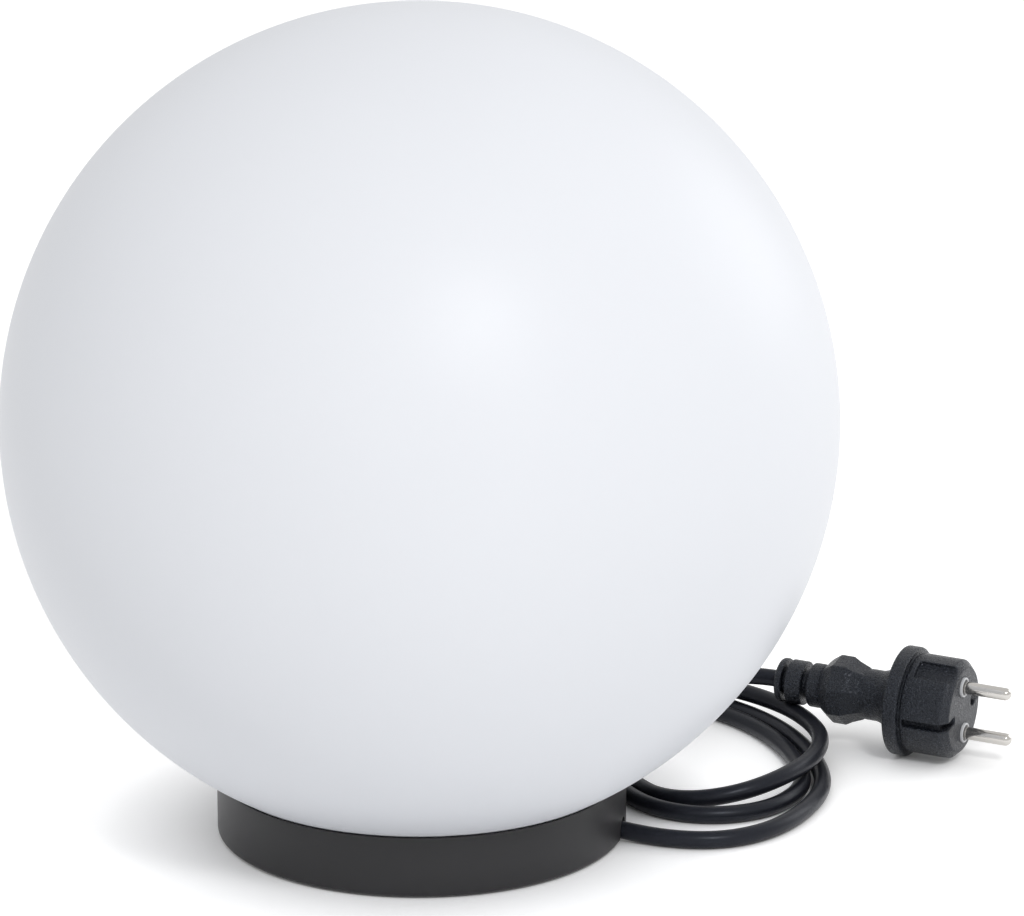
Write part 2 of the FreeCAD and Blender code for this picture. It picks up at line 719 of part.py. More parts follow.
def make_feet():
    feet = []
    for index, (x, y) in enumerate(around(size("foot_count"), "foot_circle", 45)):
        tip = cone(f"foot_tip_{index}", "foot_diameter / 2 - 0.5", "foot_diameter / 2", "0.5", x, y)
        pad = cylinder(f"foot_pad_{index}", "foot_diameter / 2", "foot_height - 0.5", x, y, "0.5")
        feet.append(fuse(f"foot_{index}", [tip, pad]))
    keep("rubber_feet", group("rubber_feet", feet))


def make_seal():
    ring = doc.addObject("Part::Torus", "neck_seal")
    bind(ring, {
        "Radius1": "neck_diameter / 2 - globe_wall - seat_gap - seal_thickness / 2",
        "Radius2": "seal_thickness / 2",
    })
    keep("neck_seal", at(ring, z="seal_height"))


# ---------------------------------------------------------------- the lamp holder

def plate_top():
    return "deck_height + bracket_thickness"


def make_holder_mounting():
    plate = block("bracket_plate", "bracket_length", "bracket_width", "bracket_thickness",
                  "-bracket_length / 2", "-bracket_width / 2", "deck_height")
    holes = [cylinder("bracket_middle", "nipple_diameter / 2 + slip_gap", "bracket_thickness", z="deck_height")]
    screws = []
    for index, side in enumerate((-1, 1)):
        x = f"{side} * bracket_spacing / 2"
        holes.append(cylinder(f"bracket_hole_{index}", "screw_diameter / 2 + slip_gap", "bracket_thickness",
                              x, "0", "deck_height"))
        shank = cylinder(f"bracket_shank_{index}", "screw_diameter / 2", "deck_thickness * 2 + bracket_thickness",
                         x, "0", "deck_height - deck_thickness * 2")
        head = cylinder(f"bracket_head_{index}", "screw_head_diameter / 2", "screw_head_height",
                        x, "0", plate_top())
        screws.append(fuse(f"bracket_screw_{index}", [shank, head]))
    keep("holder_bracket", cut("holder_bracket", plate, fuse("bracket_holes", holes)))
    keep("bracket_screws", group("bracket_screw_group", screws))

    tube = cylinder("nipple_tube", "nipple_diameter / 2", "nipple_top - nipple_bottom", z="nipple_bottom")
    bore = cylinder("nipple_hollow", "nipple_bore / 2", "nipple_top - nipple_bottom", z="nipple_bottom")
    keep("threaded_nipple", cut("threaded_nipple", tube, bore))
    nuts = []
    for name, height in (("lower", "deck_height - deck_thickness - nut_height"),
                         ("upper", f"{plate_top()} + holder_wall")):
        nut = hexagon(f"{name}_nut_blank", "nut_width", "nut_height", height)
        thread = cylinder(f"{name}_nut_thread", "nipple_diameter / 2 + slip_gap / 2", "nut_height", z=height)
        nuts.append(cut(f"{name}_nut", nut, thread))
    keep("nipple_nuts", group("nipple_nut_group", nuts))


def make_holder():
    base = plate_top()
    wall = "holder_wall"
    outer = "holder_diameter / 2"
    inner = "holder_diameter / 2 - holder_wall"
    ledge = f"{base} + carrier_seat"
    carrier_top = f"{ledge} + carrier_thickness"
    hole = "nipple_diameter / 2 + slip_gap"
    flare = "(holder_diameter - cap_foot_diameter) / 2 * 0.8"
    keep("holder_cap", turned_body("holder_cap", [
        (hole, base),
        ("cap_foot_diameter / 2", base),
        (outer, f"{base} + {flare}"),
        (outer, f"{base} + cap_height"),
        (inner, f"{base} + cap_height"),
        (inner, ledge),
        (f"{inner} - ledge_width", ledge),
        (f"{inner} - ledge_width", f"{base} + {flare} + {wall} / 2"),
        ("cap_foot_diameter / 2 - 0.5", f"{base} + {wall}"),
        (hole, f"{base} + {wall}"),
    ]))
    carrier = cylinder("carrier_disc", f"{inner} - slip_gap", "carrier_thickness", z=ledge)
    holes = []
    shell_middle = "shell_diameter / 2 - shell_wall / 2"
    for index, x in enumerate(("0", f"-({shell_middle})")):
        holes.append(cylinder(f"carrier_hole_{index}", "stem_diameter / 2 + slip_gap", "carrier_thickness",
                              x, "0", ledge))
    keep("contact_carrier", cut("contact_carrier", carrier, fuse("carrier_holes", holes)))

    stem_low = f"{ledge} - stem_reach"
    stem_height = "carrier_thickness + stem_reach"
    stem = cylinder("centre_stem", "stem_diameter / 2", stem_height, z=stem_low)
    button = cylinder("centre_button", "contact_diameter / 2", "contact_height", z=carrier_top)
    keep("centre_contact", fuse("centre_contact", [stem, button]))
    keep("shell_contact", cylinder("shell_contact", "stem_diameter / 2 - 0.2", stem_height,
                                   f"-({shell_middle})", "0", stem_low))

    shell = cylinder("shell_outside", "shell_diameter / 2", "shell_height", z=carrier_top)
    shell_bore = cylinder("shell_inside", "shell_diameter / 2 - shell_wall", "shell_height", z=carrier_top)
    keep("screw_shell", cut("screw_shell", shell, shell_bore))

    cap_top = f"{base} + cap_height"
    skirt_low = f"{cap_top} - skirt_overlap"
    skirt_top = f"{skirt_low} + skirt_height"
    mouth = "shell_diameter / 2 + slip_gap * 2"
    keep("holder_skirt", turned_body("holder_skirt", [
        (f"{outer} + slip_gap", skirt_low),
        (f"{outer} + {wall}", skirt_low),
        (f"{outer} + {wall}", f"{cap_top} + {wall}"),
        (f"{outer} - 0.8", f"{cap_top} + {wall} + 3"),
        ("skirt_mouth / 2 + 0.6", f"{skirt_top} - 1"),
        ("skirt_mouth / 2 - 0.4", skirt_top),
        (mouth, skirt_top),
        (mouth, f"{cap_top} + slip_gap * 3"),
        (f"{outer} + slip_gap", f"{cap_top} + slip_gap * 3"),
    ]))


# ---------------------------------------------------------------- the bulb

def bulb_tip():
    """Height of the bulb's tip, a seat gap over the centre contact."""
    return f"{plate_top()} + carrier_seat + carrier_thickness + contact_height + seat_gap"


def make_bulb():
    tip = bulb_tip()
    glass_low = f"{tip} + tip_height"
    glass_high = f"{glass_low} + insulator_height"
    keep("bulb_tip_contact", turned_body("bulb_tip_contact", [
        ("0", tip),
        ("tip_diameter / 2 - 1.2", tip),
        ("tip_diameter / 2", f"{tip} + tip_height * 0.6"),
        ("tip_diameter / 2", glass_low),
        ("0", glass_low),
    ]))
    cap_in = "cap_diameter / 2 - cap_thread_depth - cap_wall"
    keep("bulb_cap_insulator", turned_body("bulb_cap_insulator", [
        ("0", glass_low),
        ("tip_diameter / 2", glass_low),
        (cap_in, f"{glass_high} - 1"),
        (cap_in, glass_high),
        ("0", glass_high),
    ]))
    low = f"{glass_high} - 1"
    keep("bulb_screw_cap", turned_body("bulb_screw_cap", screw_cap_outline(low, cap_in)))
    cap_top = f"{low} + cap_turns * cap_thread_pitch"
    top = f"{tip} + bulb_body_top"
    crown = f"{tip} + bulb_length - bulb_diameter / 2"
    wide = f"sqrt((bulb_diameter / 2) ^ 2 - ({crown} - ({top})) ^ 2)"
    keep("bulb_housing", turned_body("bulb_housing", [
        ("cap_diameter / 2 - bulb_wall", cap_top),
        ("cap_diameter / 2 + 0.4", cap_top),
        ("cap_diameter / 2 + 1.6", f"{cap_top} + 6"),
        (f"{wide} - 3", f"{top} - 12"),
        (wide, f"{top} - 2"),
        (wide, top),
        (f"{wide} - bulb_wall", top),
        (f"{wide} - bulb_wall", f"{top} - led_board_thickness"),
        (f"{wide} - bulb_wall - 2", f"{top} - led_board_thickness"),
        (f"{wide} - bulb_wall - 4.5", f"{top} - 12"),
        ("cap_diameter / 2 + 1.6 - bulb_wall", f"{cap_top} + 6"),
    ]))
    board = cylinder("led_disc", f"{wide} - bulb_wall - slip_gap", "led_board_thickness",
                     z=f"{top} - led_board_thickness")
    emitters = [board]
    for index, (x, y) in enumerate(around(size("led_count"), "led_circle")):
        emitters.append(block(f"led_{index}", "led_width", "led_width", "led_height",
                              f"{x} - led_width / 2", f"{y} - led_width / 2", top))
    keep("bulb_led_board", fuse("bulb_led_board", emitters))
    keep("bulb_driver_board", block("bulb_driver_board", "driver_width", "driver_thickness", "driver_length",
                                    "-driver_width / 2", "-driver_thickness / 2",
                                    f"{top} - led_board_thickness - driver_length"))
    dome = ball("dome_outside", "bulb_diameter / 2", crown)
    dome_hollow = ball("dome_inside", "bulb_diameter / 2 - bulb_wall", crown)
    below = cylinder("dome_below", "bulb_diameter", "bulb_diameter", z=f"{top} - bulb_diameter")
    keep("bulb_diffuser", cut("bulb_diffuser", dome, fuse("dome_openings", [dome_hollow, below])))


def screw_cap_outline(low, inside):
    """The cap's sheet with a rounded thread, up one side and down the other."""
    crest = "cap_diameter / 2"
    root = "cap_diameter / 2 - cap_thread_depth"
    outline = []
    for turn in range(int(size("cap_turns"))):
        outline.append((root, f"{low} + {turn} * cap_thread_pitch"))
        outline.append((crest, f"{low} + {turn + 0.4} * cap_thread_pitch"))
        outline.append((crest, f"{low} + {turn + 0.6} * cap_thread_pitch"))
    outline.append((root, f"{low} + cap_turns * cap_thread_pitch"))
    outline.append((inside, f"{low} + cap_turns * cap_thread_pitch"))
    outline.append((inside, low))
    return outline


# ---------------------------------------------------------------- wiring in the base

def make_cable_entry():
    seat = -size("entry_inside") - size("slip_gap")
    end = relief_end()
    reach = size("relief_length")
    root = size("relief_diameter") / 2
    tip = size("relief_tip") / 2
    bore = size("cord_diameter") / 2 + size("slip_gap") / 2
    flange = size("relief_flange") / 2
    outline = [Vector(bore, 0, end), Vector(flange, 0, end), Vector(flange, 0, seat),
               Vector(root, 0, seat), Vector(root, 0, size("entry_outside"))]
    grooves = int(size("relief_grooves"))
    depth = size("relief_groove_depth")
    half = (reach - size("entry_outside")) / (grooves + 1) / 4
    for index in range(grooves):
        middle = size("entry_outside") + half * 4 * (index + 1)
        outer = [root + (tip - root) * (middle + side * half) / reach for side in (-1, 1)]
        floor = root + (tip - root) * middle / reach - depth
        outline += [Vector(outer[0], 0, middle - half), Vector(floor, 0, middle - half / 2),
                    Vector(floor, 0, middle + half / 2), Vector(outer[1], 0, middle + half)]
    outline += [Vector(tip, 0, reach), Vector(bore, 0, reach)]
    outline.append(outline[0])
    face = Part.Face(Part.makePolygon(outline))
    sleeve = face.revolve(Vector(0, 0, 0), Vector(0, 0, 1), 360)
    keep("cable_relief", solid_feature("cable_relief", sleeve, lying(CABLE, 0)))

    sheath_length = reach + size("sheath_inside")
    sheath = Part.makeCylinder(size("cord_diameter") / 2, sheath_length)
    keep("cable_sheath", solid_feature("cable_sheath", sheath, lying(CABLE, -size("sheath_inside"))))


def make_clamp():
    length = size("clamp_length")
    width = size("clamp_width")
    thickness = size("clamp_thickness")
    middle = clamp_middle()
    low = -size("cord_diameter") / 2 - thickness + 0.9
    bar = Part.makeBox(width, length, thickness, Vector(middle - width / 2, -length / 2, low))
    groove = Part.makeCylinder(size("cord_diameter") / 2 + size("slip_gap") / 2, 2 * width,
                               Vector(middle - width, 0, 0), Vector(1, 0, 0))
    screws = []
    for side in (-1, 1):
        y = side * size("clamp_spacing") / 2
        hole = Part.makeCylinder(size("screw_diameter") / 2 + size("slip_gap"), thickness, Vector(middle, y, low))
        bar = bar.cut(hole)
        shank = Part.makeCylinder(size("screw_diameter") / 2, 7.0 - low, Vector(middle, y, low))
        head = Part.makeCylinder(size("screw_head_diameter") / 2, size("screw_head_height"),
                                 Vector(middle, y, low - size("screw_head_height")))
        screws.append(shank.fuse(head))
    keep("cord_clamp", solid_feature("cord_clamp", bar.cut(groove), CABLE))
    keep("clamp_screws", solid_feature("clamp_screws", Part.makeCompound(screws), CABLE))


def make_terminal_block():
    under_deck = "deck_height - deck_thickness"
    low = f"{under_deck} - terminal_height"
    body = block("terminal_body", "terminal_length", "terminal_width", "terminal_height",
                 "-terminal_length / 2", "terminal_side - terminal_width / 2", low)
    holes = []
    screws = []
    for index, side in enumerate((-1, 1)):
        y = f"terminal_side + {side} * terminal_spacing / 2"
        bore = cylinder(f"terminal_bore_{index}", "core_diameter / 2 + slip_gap", "terminal_length")
        bore.Placement.Rotation = LYING
        at(bore, "-terminal_length / 2", y, f"{low} + terminal_height / 2")
        holes.append(bore)
        for number, place in enumerate((-1, 1)):
            x = f"{place} * terminal_length / 4"
            holes.append(cylinder(f"terminal_well_{index}_{number}", "screw_diameter / 2 + slip_gap",
                                  "terminal_height / 2 - core_diameter / 2 - 0.1", x, y, low))
            screws.append(cylinder(f"terminal_screw_{index}_{number}", "screw_diameter / 2",
                                   "terminal_height / 2 - core_diameter / 2 - 0.9", x, y, f"{low} + 0.8"))
    keep("terminal_block", cut("terminal_block", body, fuse("terminal_holes", holes)))
    keep("terminal_screws", group("terminal_screw_group", screws))


def make_wires():
    """Two cores from the sheath to the terminal block and two wires from there to the contacts."""
    pole_height = size("deck_height") - size("deck_thickness") - size("terminal_height") / 2
    half = size("terminal_length") / 2
    inside = -size("sheath_inside")
    low = worth("nipple_bottom") - 4.2
    stem = worth(f"{plate_top()} + carrier_seat - stem_reach")
    shell_middle = size("shell_diameter") / 2 - size("shell_wall") / 2
    live_pole = size("terminal_side") - size("terminal_spacing") / 2
    neutral_pole = size("terminal_side") + size("terminal_spacing") / 2
    apart = 1.35
    tube_node("live_core", [
        along(CABLE, inside, -apart),
        along(CABLE, inside - 10.5, -apart),
        Vector(13.8, live_pole - 7.0, pole_height),
        Vector(half + 2.4, live_pole, pole_height),
        Vector(half - 3, live_pole, pole_height),
    ], size("core_diameter"))
    tube_node("neutral_core", [
        along(CABLE, inside, apart),
        along(CABLE, inside - 6.5, apart),
        Vector(18.4, neutral_pole - 8.0, pole_height),
        Vector(half + 5.6, neutral_pole, pole_height),
        Vector(half - 3, neutral_pole, pole_height),
    ], size("core_diameter"))
    tube_node("live_wire", [
        Vector(3 - half, live_pole, pole_height),
        Vector(-half - 3.0, live_pole, pole_height),
        Vector(-half - 3.5, 10.0, low + 1.7),
        Vector(-8.0, 2.6, low),
        Vector(0.8, 1.4, low),
        Vector(0, 0, stem - size("slip_gap")),
    ], size("wire_diameter"), largest=WIRE_BEND)
    bend = stem - size("wire_diameter") / 2 - size("slip_gap") / 2
    tube_node("neutral_wire", [
        Vector(3 - half, neutral_pole, pole_height),
        Vector(-half - 7.0, neutral_pole, pole_height),
        Vector(-half - 7.5, 8.0, low + 1.7),
        Vector(-12.5, -0.6, low),
        Vector(-1.7, -0.6, low),
        Vector(-1.7, -0.6, bend),
        Vector(-shell_middle, 0, bend),
    ], size("wire_diameter"), largest=WIRE_BEND)


# ---------------------------------------------------------------- the mains lead

def loop_route():
    """The loops' points: each turn lies a step inside the one before it."""
    count = len(LOOP_POINTS)
    rest = size("cord_rest")
    route = []
    for turn in range(LOOP_TURNS):
        outwards = size("coil_step") * (LOOP_TURNS - 1 - turn)
        first = LOOP_START if turn == 0 else 0
        last = LOOP_END if turn == LOOP_TURNS - 1 else count
        for index in range(first, last):
            x, y = LOOP_POINTS[index]
            before = LOOP_POINTS[index - 1]
            after = LOOP_POINTS[(index + 1) % count]
            span = math.hypot(after[0] - before[0], after[1] - before[1])
            normal_x = (after[1] - before[1]) / span
            normal_y = (before[0] - after[0]) / span
            route.append(Vector(x + normal_x * outwards, y + normal_y * outwards, rest))
    return route


def make_cord():
    diameter = size("cord_diameter")
    lead = [Vector(*point) for point in LEAD_POINTS]
    loops = loop_route()
    tail = [Vector(*point) for point in TAIL_POINTS]
    exit_point = along(CABLE, size("relief_length"))
    exit_run = along(CABLE, size("relief_length") + RELIEF_RUN)
    plug_point = along(PLUG, -size("plug_tail"))
    plug_run = along(PLUG, -size("plug_tail") - PLUG_RUN)
    coil_start = (lead[-1] + loops[0]) * 0.5
    coil_end = (loops[-1] + tail[0]) * 0.5
    lead_points = [exit_point, exit_run] + lead + [coil_start]
    tail_points = [coil_end] + tail + [plug_run, plug_point]
    lead_path = tube_node("cord_lead", lead_points, diameter, ARC_SHARE, diameter)
    coil_path = tube_node("cord_coil", [coil_start] + loops + [coil_end], diameter, LOOP_SHARE, diameter)
    tail_path = tube_node("cord_tail", tail_points, diameter, ARC_SHARE, diameter)
    print(f"cord_coil: least gap to itself {least_gap(coil_path, diameter):.2f}")
    print(f"lead in all: {lead_path.Length + coil_path.Length + tail_path.Length:.0f}")
    ends = {"exit": exit_point, "exit run": exit_run, "plug run": plug_run, "plug": plug_point}
    for name, point in ends.items():
        print(f"{name}: {point.x:.2f} {point.y:.2f} {point.z:.2f}")


# ---------------------------------------------------------------- the plug

def plug_core():
    """The plug's moulded body, turned about its axis: front part, flange, waist and sleeve."""
    face = size("flange_thickness") / 2 + size("plug_length")
    flange = size("flange_thickness") / 2
    front = size("plug_diameter") / 2
    edge = size("plug_chamfer")
    rim = size("flange_diameter") / 2
    waist = size("waist_diameter") / 2
    sleeve = size("sleeve_diameter") / 2
    core = size("sleeve_core") / 2
    tail = -size("plug_tail")
    rounding = 0.8
    points = [
        ("line", face, 0.0), ("line", face, front - edge), ("line", face - edge, front),
        ("line", flange, front), ("line", flange, rim - rounding), ("line", flange - rounding, rim),
        ("line", -flange + rounding, rim), ("line", -flange, rim - rounding), ("line", -flange, front * 0.86),
        ("arc", (-flange - 2.2, front * 0.62), (-flange - 8.0, waist)),
        ("line", -flange - 12.0, waist), ("line", tail + size("sleeve_length") + 3, waist * 0.86),
        ("line", tail + size("sleeve_length"), sleeve),
    ]
    for distance, width in SLEEVE_GROOVES:
        start = tail + distance + width / 2
        end = tail + distance - width / 2
        points += [("line", start, sleeve), ("line", start, core), ("line", end, core), ("line", end, sleeve)]
    points += [
        ("line", tail + 2.0, sleeve), ("arc", (tail + 0.6, sleeve - 0.7), (tail, sleeve - 2.2)),
        ("line", tail, 0.0),
    ]
    edges = []
    here = None
    for kind, first, second in points:
        if kind == "line":
            there = Vector(first, 0, second)
            if here is not None:
                edges.append(Part.LineSegment(here, there).toShape())
        else:
            there = Vector(second[0], 0, second[1])
            edges.append(Part.Arc(here, Vector(first[0], 0, first[1]), there).toShape())
        here = there
    edges.append(Part.LineSegment(here, Vector(face, 0, 0)).toShape())
    return Part.Face(Part.Wire(edges)).revolve(Vector(0, 0, 0), Vector(1, 0, 0), 360)


def plug_grip():
    """The faceted grip between waist and sleeve: flats that swell and taper."""
    start = size("sleeve_length") - size("plug_tail")
    rings = []
    for distance, share in GRIP_STATIONS:
        radius = size("collar_diameter") / 2 * share
        corners = []
        for index in range(GRIP_SIDES + 1):
            angle = 2 * math.pi * (index + 0.5) / GRIP_SIDES
            corners.append(Vector(start + distance, radius * math.cos(angle), radius * math.sin(angle)))
        rings.append(Part.makePolygon(corners))
    return Part.makeLoft(rings, True, True)


def make_plug():
    face = size("flange_thickness") / 2 + size("plug_length")
    flange = size("flange_thickness") / 2
    front = size("plug_diameter") / 2
    half = size("pin_spacing") / 2
    body = plug_core().fuse(plug_grip())
    cuts = []
    pins = []
    rings = []
    root = size("pin_root") / 2
    for side in (-1, 1):
        place = Vector(face, 0, side * half)
        ring_start = place - Vector(size("ring_depth"), 0, 0)
        ring_length = size("ring_depth") + size("ring_proud")
        cuts.append(Part.makeCylinder(size("ring_diameter") / 2 + size("slip_gap") / 2, size("ring_depth"),
                                      ring_start, Vector(1, 0, 0)))
        outside = Part.makeCylinder(size("ring_diameter") / 2, ring_length, ring_start, Vector(1, 0, 0))
        inside = Part.makeCylinder(root + size("slip_gap") / 2, ring_length, ring_start, Vector(1, 0, 0))
        rings.append(outside.cut(inside))
        pins.append(make_pin(place, ring_start, root))
        guide = Part.makeBox(size("plug_length"), size("guide_width"), size("guide_depth") * 2,
                             Vector(flange + size("guide_start"), -size("guide_width") / 2, front - size("guide_depth")))
        opposite = 0 if side > 0 else 180
        guide.rotate(Vector(0, 0, 0), Vector(1, 0, 0), size("guide_turn") + opposite)
        cuts.append(guide)
        slot = Part.makeBox(size("plug_length"), size("earth_depth") + 2, size("earth_width"),
                            Vector(flange + 1.6, 0, -size("earth_width") / 2))
        slot.translate(Vector(0, front - size("earth_depth") if side > 0 else -front - 2, 0))
        cuts.append(slot)
        inlet = Part.makeBox(4.5, front - half, size("earth_width"),
                             Vector(face - 4, 0, -size("earth_width") / 2))
        inlet.translate(Vector(0, half if side > 0 else -front, 0))
        cuts.append(inlet)
    cuts.append(Part.makeCylinder(size("earth_hole") / 2, 14.0, Vector(face - 13.5, half + 0.4, 0),
                                  Vector(1, 0, 0)))
    body = body.cut(cuts)
    keep("plug_body", solid_feature("plug_body", body, PLUG))
    keep("plug_rings", solid_feature("plug_rings", Part.makeCompound(rings), PLUG))
    keep("plug_pins", solid_feature("plug_pins", Part.makeCompound(pins), PLUG))


def make_pin(place, ring_start, root):
    radius = size("pin_diameter") / 2
    length = size("pin_reach")
    proud = size("ring_proud")
    straight = length - radius
    x = place.x
    edges = [
        Part.LineSegment(Vector(ring_start.x, 0, 0), Vector(ring_start.x, 0, root)).toShape(),
        Part.LineSegment(Vector(ring_start.x, 0, root), Vector(x + proud, 0, root)).toShape(),
        Part.LineSegment(Vector(x + proud, 0, root), Vector(x + proud, 0, radius)).toShape(),
        Part.LineSegment(Vector(x + proud, 0, radius), Vector(x + straight, 0, radius)).toShape(),
        Part.Arc(Vector(x + straight, 0, radius),
                 Vector(x + straight + radius * math.sqrt(0.5), 0, radius * math.sqrt(0.5)),
                 Vector(x + length, 0, 0)).toShape(),
        Part.LineSegment(Vector(x + length, 0, 0), Vector(ring_start.x, 0, 0)).toShape(),
    ]
    pin = Part.Face(Part.Wire(edges)).revolve(Vector(0, 0, 0), Vector(1, 0, 0), 360)
    pin.translate(Vector(0, 0, place.z))
    return pin


# ---------------------------------------------------------------- making and writing

def check_and_write():
    doc.recompute()
    for item in doc.Objects:
        if "Invalid" in item.State or "Error" in item.State:
            raise RuntimeError(f"{item.Name} failed: {item.State}")
    for node, item in nodes.items():
        if item.Shape.isNull() or not item.Shape.isValid() or not item.Shape.Solids:
            raise RuntimeError(f"{node} has no valid solid")
    os.makedirs("parts", exist_ok=True)
    for node, item in nodes.items():
        item.Shape.exportStep(f"parts/{node}.step")
    print(f"{len(nodes)} sub-parts")


make_globe()
make_base_housing()
make_cover()
make_feet()
make_seal()
make_holder_mounting()
make_holder()
make_bulb()
make_cable_entry()
make_clamp()
make_terminal_block()
make_wires()
make_cord()
make_plug()
check_and_write()
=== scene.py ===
"""Garden globe light: a white opal ball on a low dark base, a lamp holder with its LED bulb inside,
and a rubber mains lead that lies in loose loops beside it and ends in its plug."""

import math
from functools import partial

import bpy
import bmesh
from bpy.props import FloatProperty, FloatVectorProperty, IntProperty, PointerProperty
from mathutils import Euler, Matrix, Vector


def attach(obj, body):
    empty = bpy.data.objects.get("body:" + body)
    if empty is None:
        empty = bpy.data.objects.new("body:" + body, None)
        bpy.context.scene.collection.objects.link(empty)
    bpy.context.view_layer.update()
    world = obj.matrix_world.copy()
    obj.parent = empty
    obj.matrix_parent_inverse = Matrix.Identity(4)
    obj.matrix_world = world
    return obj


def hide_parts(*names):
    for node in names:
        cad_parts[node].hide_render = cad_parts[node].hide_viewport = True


bl_info = {
    "name": "Garden Globe Light",
    "version": (1, 0, 0),
    "blender": (4, 5, 0),
    "location": "View3D > Sidebar > Globe Light",
    "description": "Dresses the packed garden globe light with finished pieces and materials",
    "category": "Add Mesh",
}

MM = 0.001
TURN = 2 * math.pi

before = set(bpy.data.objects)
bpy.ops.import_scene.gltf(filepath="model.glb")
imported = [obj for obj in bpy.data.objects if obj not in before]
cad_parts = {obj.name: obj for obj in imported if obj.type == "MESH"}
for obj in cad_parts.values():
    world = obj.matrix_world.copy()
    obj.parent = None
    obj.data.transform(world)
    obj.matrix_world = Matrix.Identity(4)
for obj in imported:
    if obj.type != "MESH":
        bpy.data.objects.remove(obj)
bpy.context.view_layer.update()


# ---------------------------------------------------------------- sizes and colours

def length(name, default_mm, description):
    return FloatProperty(name=name, default=default_mm * MM, description=description,
                         unit="LENGTH", precision=5)


def colour(name, default, description):
    return FloatVectorProperty(name=name, default=default, description=description,
                               subtype="COLOR", size=3, min=0.0, max=1.0)


class BallSizes(bpy.types.PropertyGroup):
    diameter: length("Ball diameter", 300.0, "Outside of the ball")
    wall: length("Wall", 2.5, "Wall of the ball and of its neck")
    centre: length("Centre height", 154.0, "Height of the ball's centre over the floor")
    neck: length("Neck diameter", 132.0, "Outside of the ball's neck")
    neck_end: length("Neck end", 11.3, "Height of the neck's lower end")
    opal: colour("Opal colour", (0.885, 0.905, 0.95), "Colour of the ball's plastic")


class BaseSizes(bpy.types.PropertyGroup):
    diameter: length("Base diameter", 149.0, "Outside of the base ring")
    wall: length("Wall", 3.5, "Outer wall of the base")
    lift: length("Lift", 0.6, "Height of the lower rim over the floor")
    rounding: length("Rounding", 3.0, "Rounding of the lower rim")
    ball_gap: length("Ball gap", 0.4, "Gap between the ball and the rim")
    ribs: IntProperty(name="Ribs", default=8, min=3, description="Ribs under the deck")
    feet: IntProperty(name="Feet", default=4, min=3, description="Rubber feet")
    plastic: colour("Base colour", (0.027, 0.0265, 0.0285), "Colour of the base's plastic")


class HolderSizes(bpy.types.PropertyGroup):
    seat: length("Seat", 23.2, "Height of the steel plate under the lamp holder")
    diameter: length("Holder diameter", 39.0, "Cap of the lamp holder")
    grips: IntProperty(name="Grips", default=36, min=12, description="Grip ridges round the holder's ring")
    bakelite: colour("Bakelite colour", (0.012, 0.011, 0.011), "Colour of the lamp holder")


class BulbSizes(bpy.types.PropertyGroup):
    tip: length("Tip height", 41.7, "Height of the bulb's tip")
    diameter: length("Bulb diameter", 60.0, "Bulb at its widest")
    bulb_length: length("Bulb length", 107.3, "Bulb from tip to crown")
    cap: length("Cap diameter", 26.2, "Bulb cap over its thread")
    pitch: length("Thread pitch", 3.6, "Pitch of the bulb cap's thread")
    emitters: IntProperty(name="Emitters", default=10, min=3, description="Light emitters on the board")


class CordSizes(bpy.types.PropertyGroup):
    diameter: length("Lead diameter", 6.5, "Rubber sheathed lead")
    rest: length("Rest height", 3.3, "Height of the lead's centre where it lies on the floor")
    step: length("Coil step", 7.5, "From one loop to the next, side by side")
    rubber: colour("Lead colour", (0.0125, 0.0135, 0.0185), "Colour of the lead's rubber")


class PlugSizes(bpy.types.PropertyGroup):
    front: length("Front diameter", 37.8, "Front part of the plug")
    front_length: length("Front length", 19.6, "Front part of the plug")
    chamfer: length("Front chamfer", 2.8, "Front edge of the plug")
    flange: length("Flange diameter", 41.7, "Flange of the plug")
    flange_thickness: length("Flange thickness", 5.8, "Flange of the plug")
    waist: length("Waist diameter", 19.4, "Waist of the plug")
    collar: length("Collar diameter", 26.3, "Faceted grip of the plug")
    sleeve: length("Sleeve diameter", 16.9, "Ribbed sleeve of the plug")
    sleeve_length: length("Sleeve length", 18.8, "Ribbed sleeve of the plug")
    tail: length("Tail", 51.9, "End of the sleeve behind the flange's middle")
    pin: length("Pin diameter", 4.8, "Plug pins")
    pin_reach: length("Pin reach", 19.0, "Plug pins over the plug's face")
    pin_spacing: length("Pin spacing", 19.0, "Plug pins")
    ring_depth: length("Ring depth", 5.0, "Insulating rings inside the plug")
    ring_proud: length("Ring height", 0.8, "Insulating rings over the plug's face")
    slot_width: length("Slot width", 2.9, "Side slots of the plug")
    slot_depth: length("Slot depth", 2.8, "Side slots of the plug")
    guide_width: length("Guide width", 8.4, "Guide grooves of the plug")
    guide_depth: length("Guide depth", 2.0, "Guide grooves of the plug")
    grain: length("Mesh grain", 0.36, "Finest detail of the moulded rubber")
    rubber: colour("Plug colour", (0.006, 0.0072, 0.0105), "Colour of the plug's rubber")


class StageSettings(bpy.types.PropertyGroup):
    floor: colour("Floor colour", (0.88, 0.88, 0.88), "Colour of the studio floor")
    lift: FloatProperty(name="Floor lift", default=0.5, min=0.0, max=1.0,
                        description="Light that the floor adds for the eye")
    sky: FloatProperty(name="Sky strength", default=0.8, min=0.0, description="Even light of the studio")
    softbox: FloatProperty(name="Softbox power", default=16.0, min=0.0,
                           description="Power of the soft lamp", unit="POWER")


# ---------------------------------------------------------------- meshes

def mesh_object(name, shape):
    """A new object at the origin from a finished bmesh."""
    mesh = bpy.data.meshes.new(name)
    shape.to_mesh(mesh)
    shape.free()
    piece = bpy.data.objects.new(name, mesh)
    bpy.context.scene.collection.objects.link(piece)
    return piece


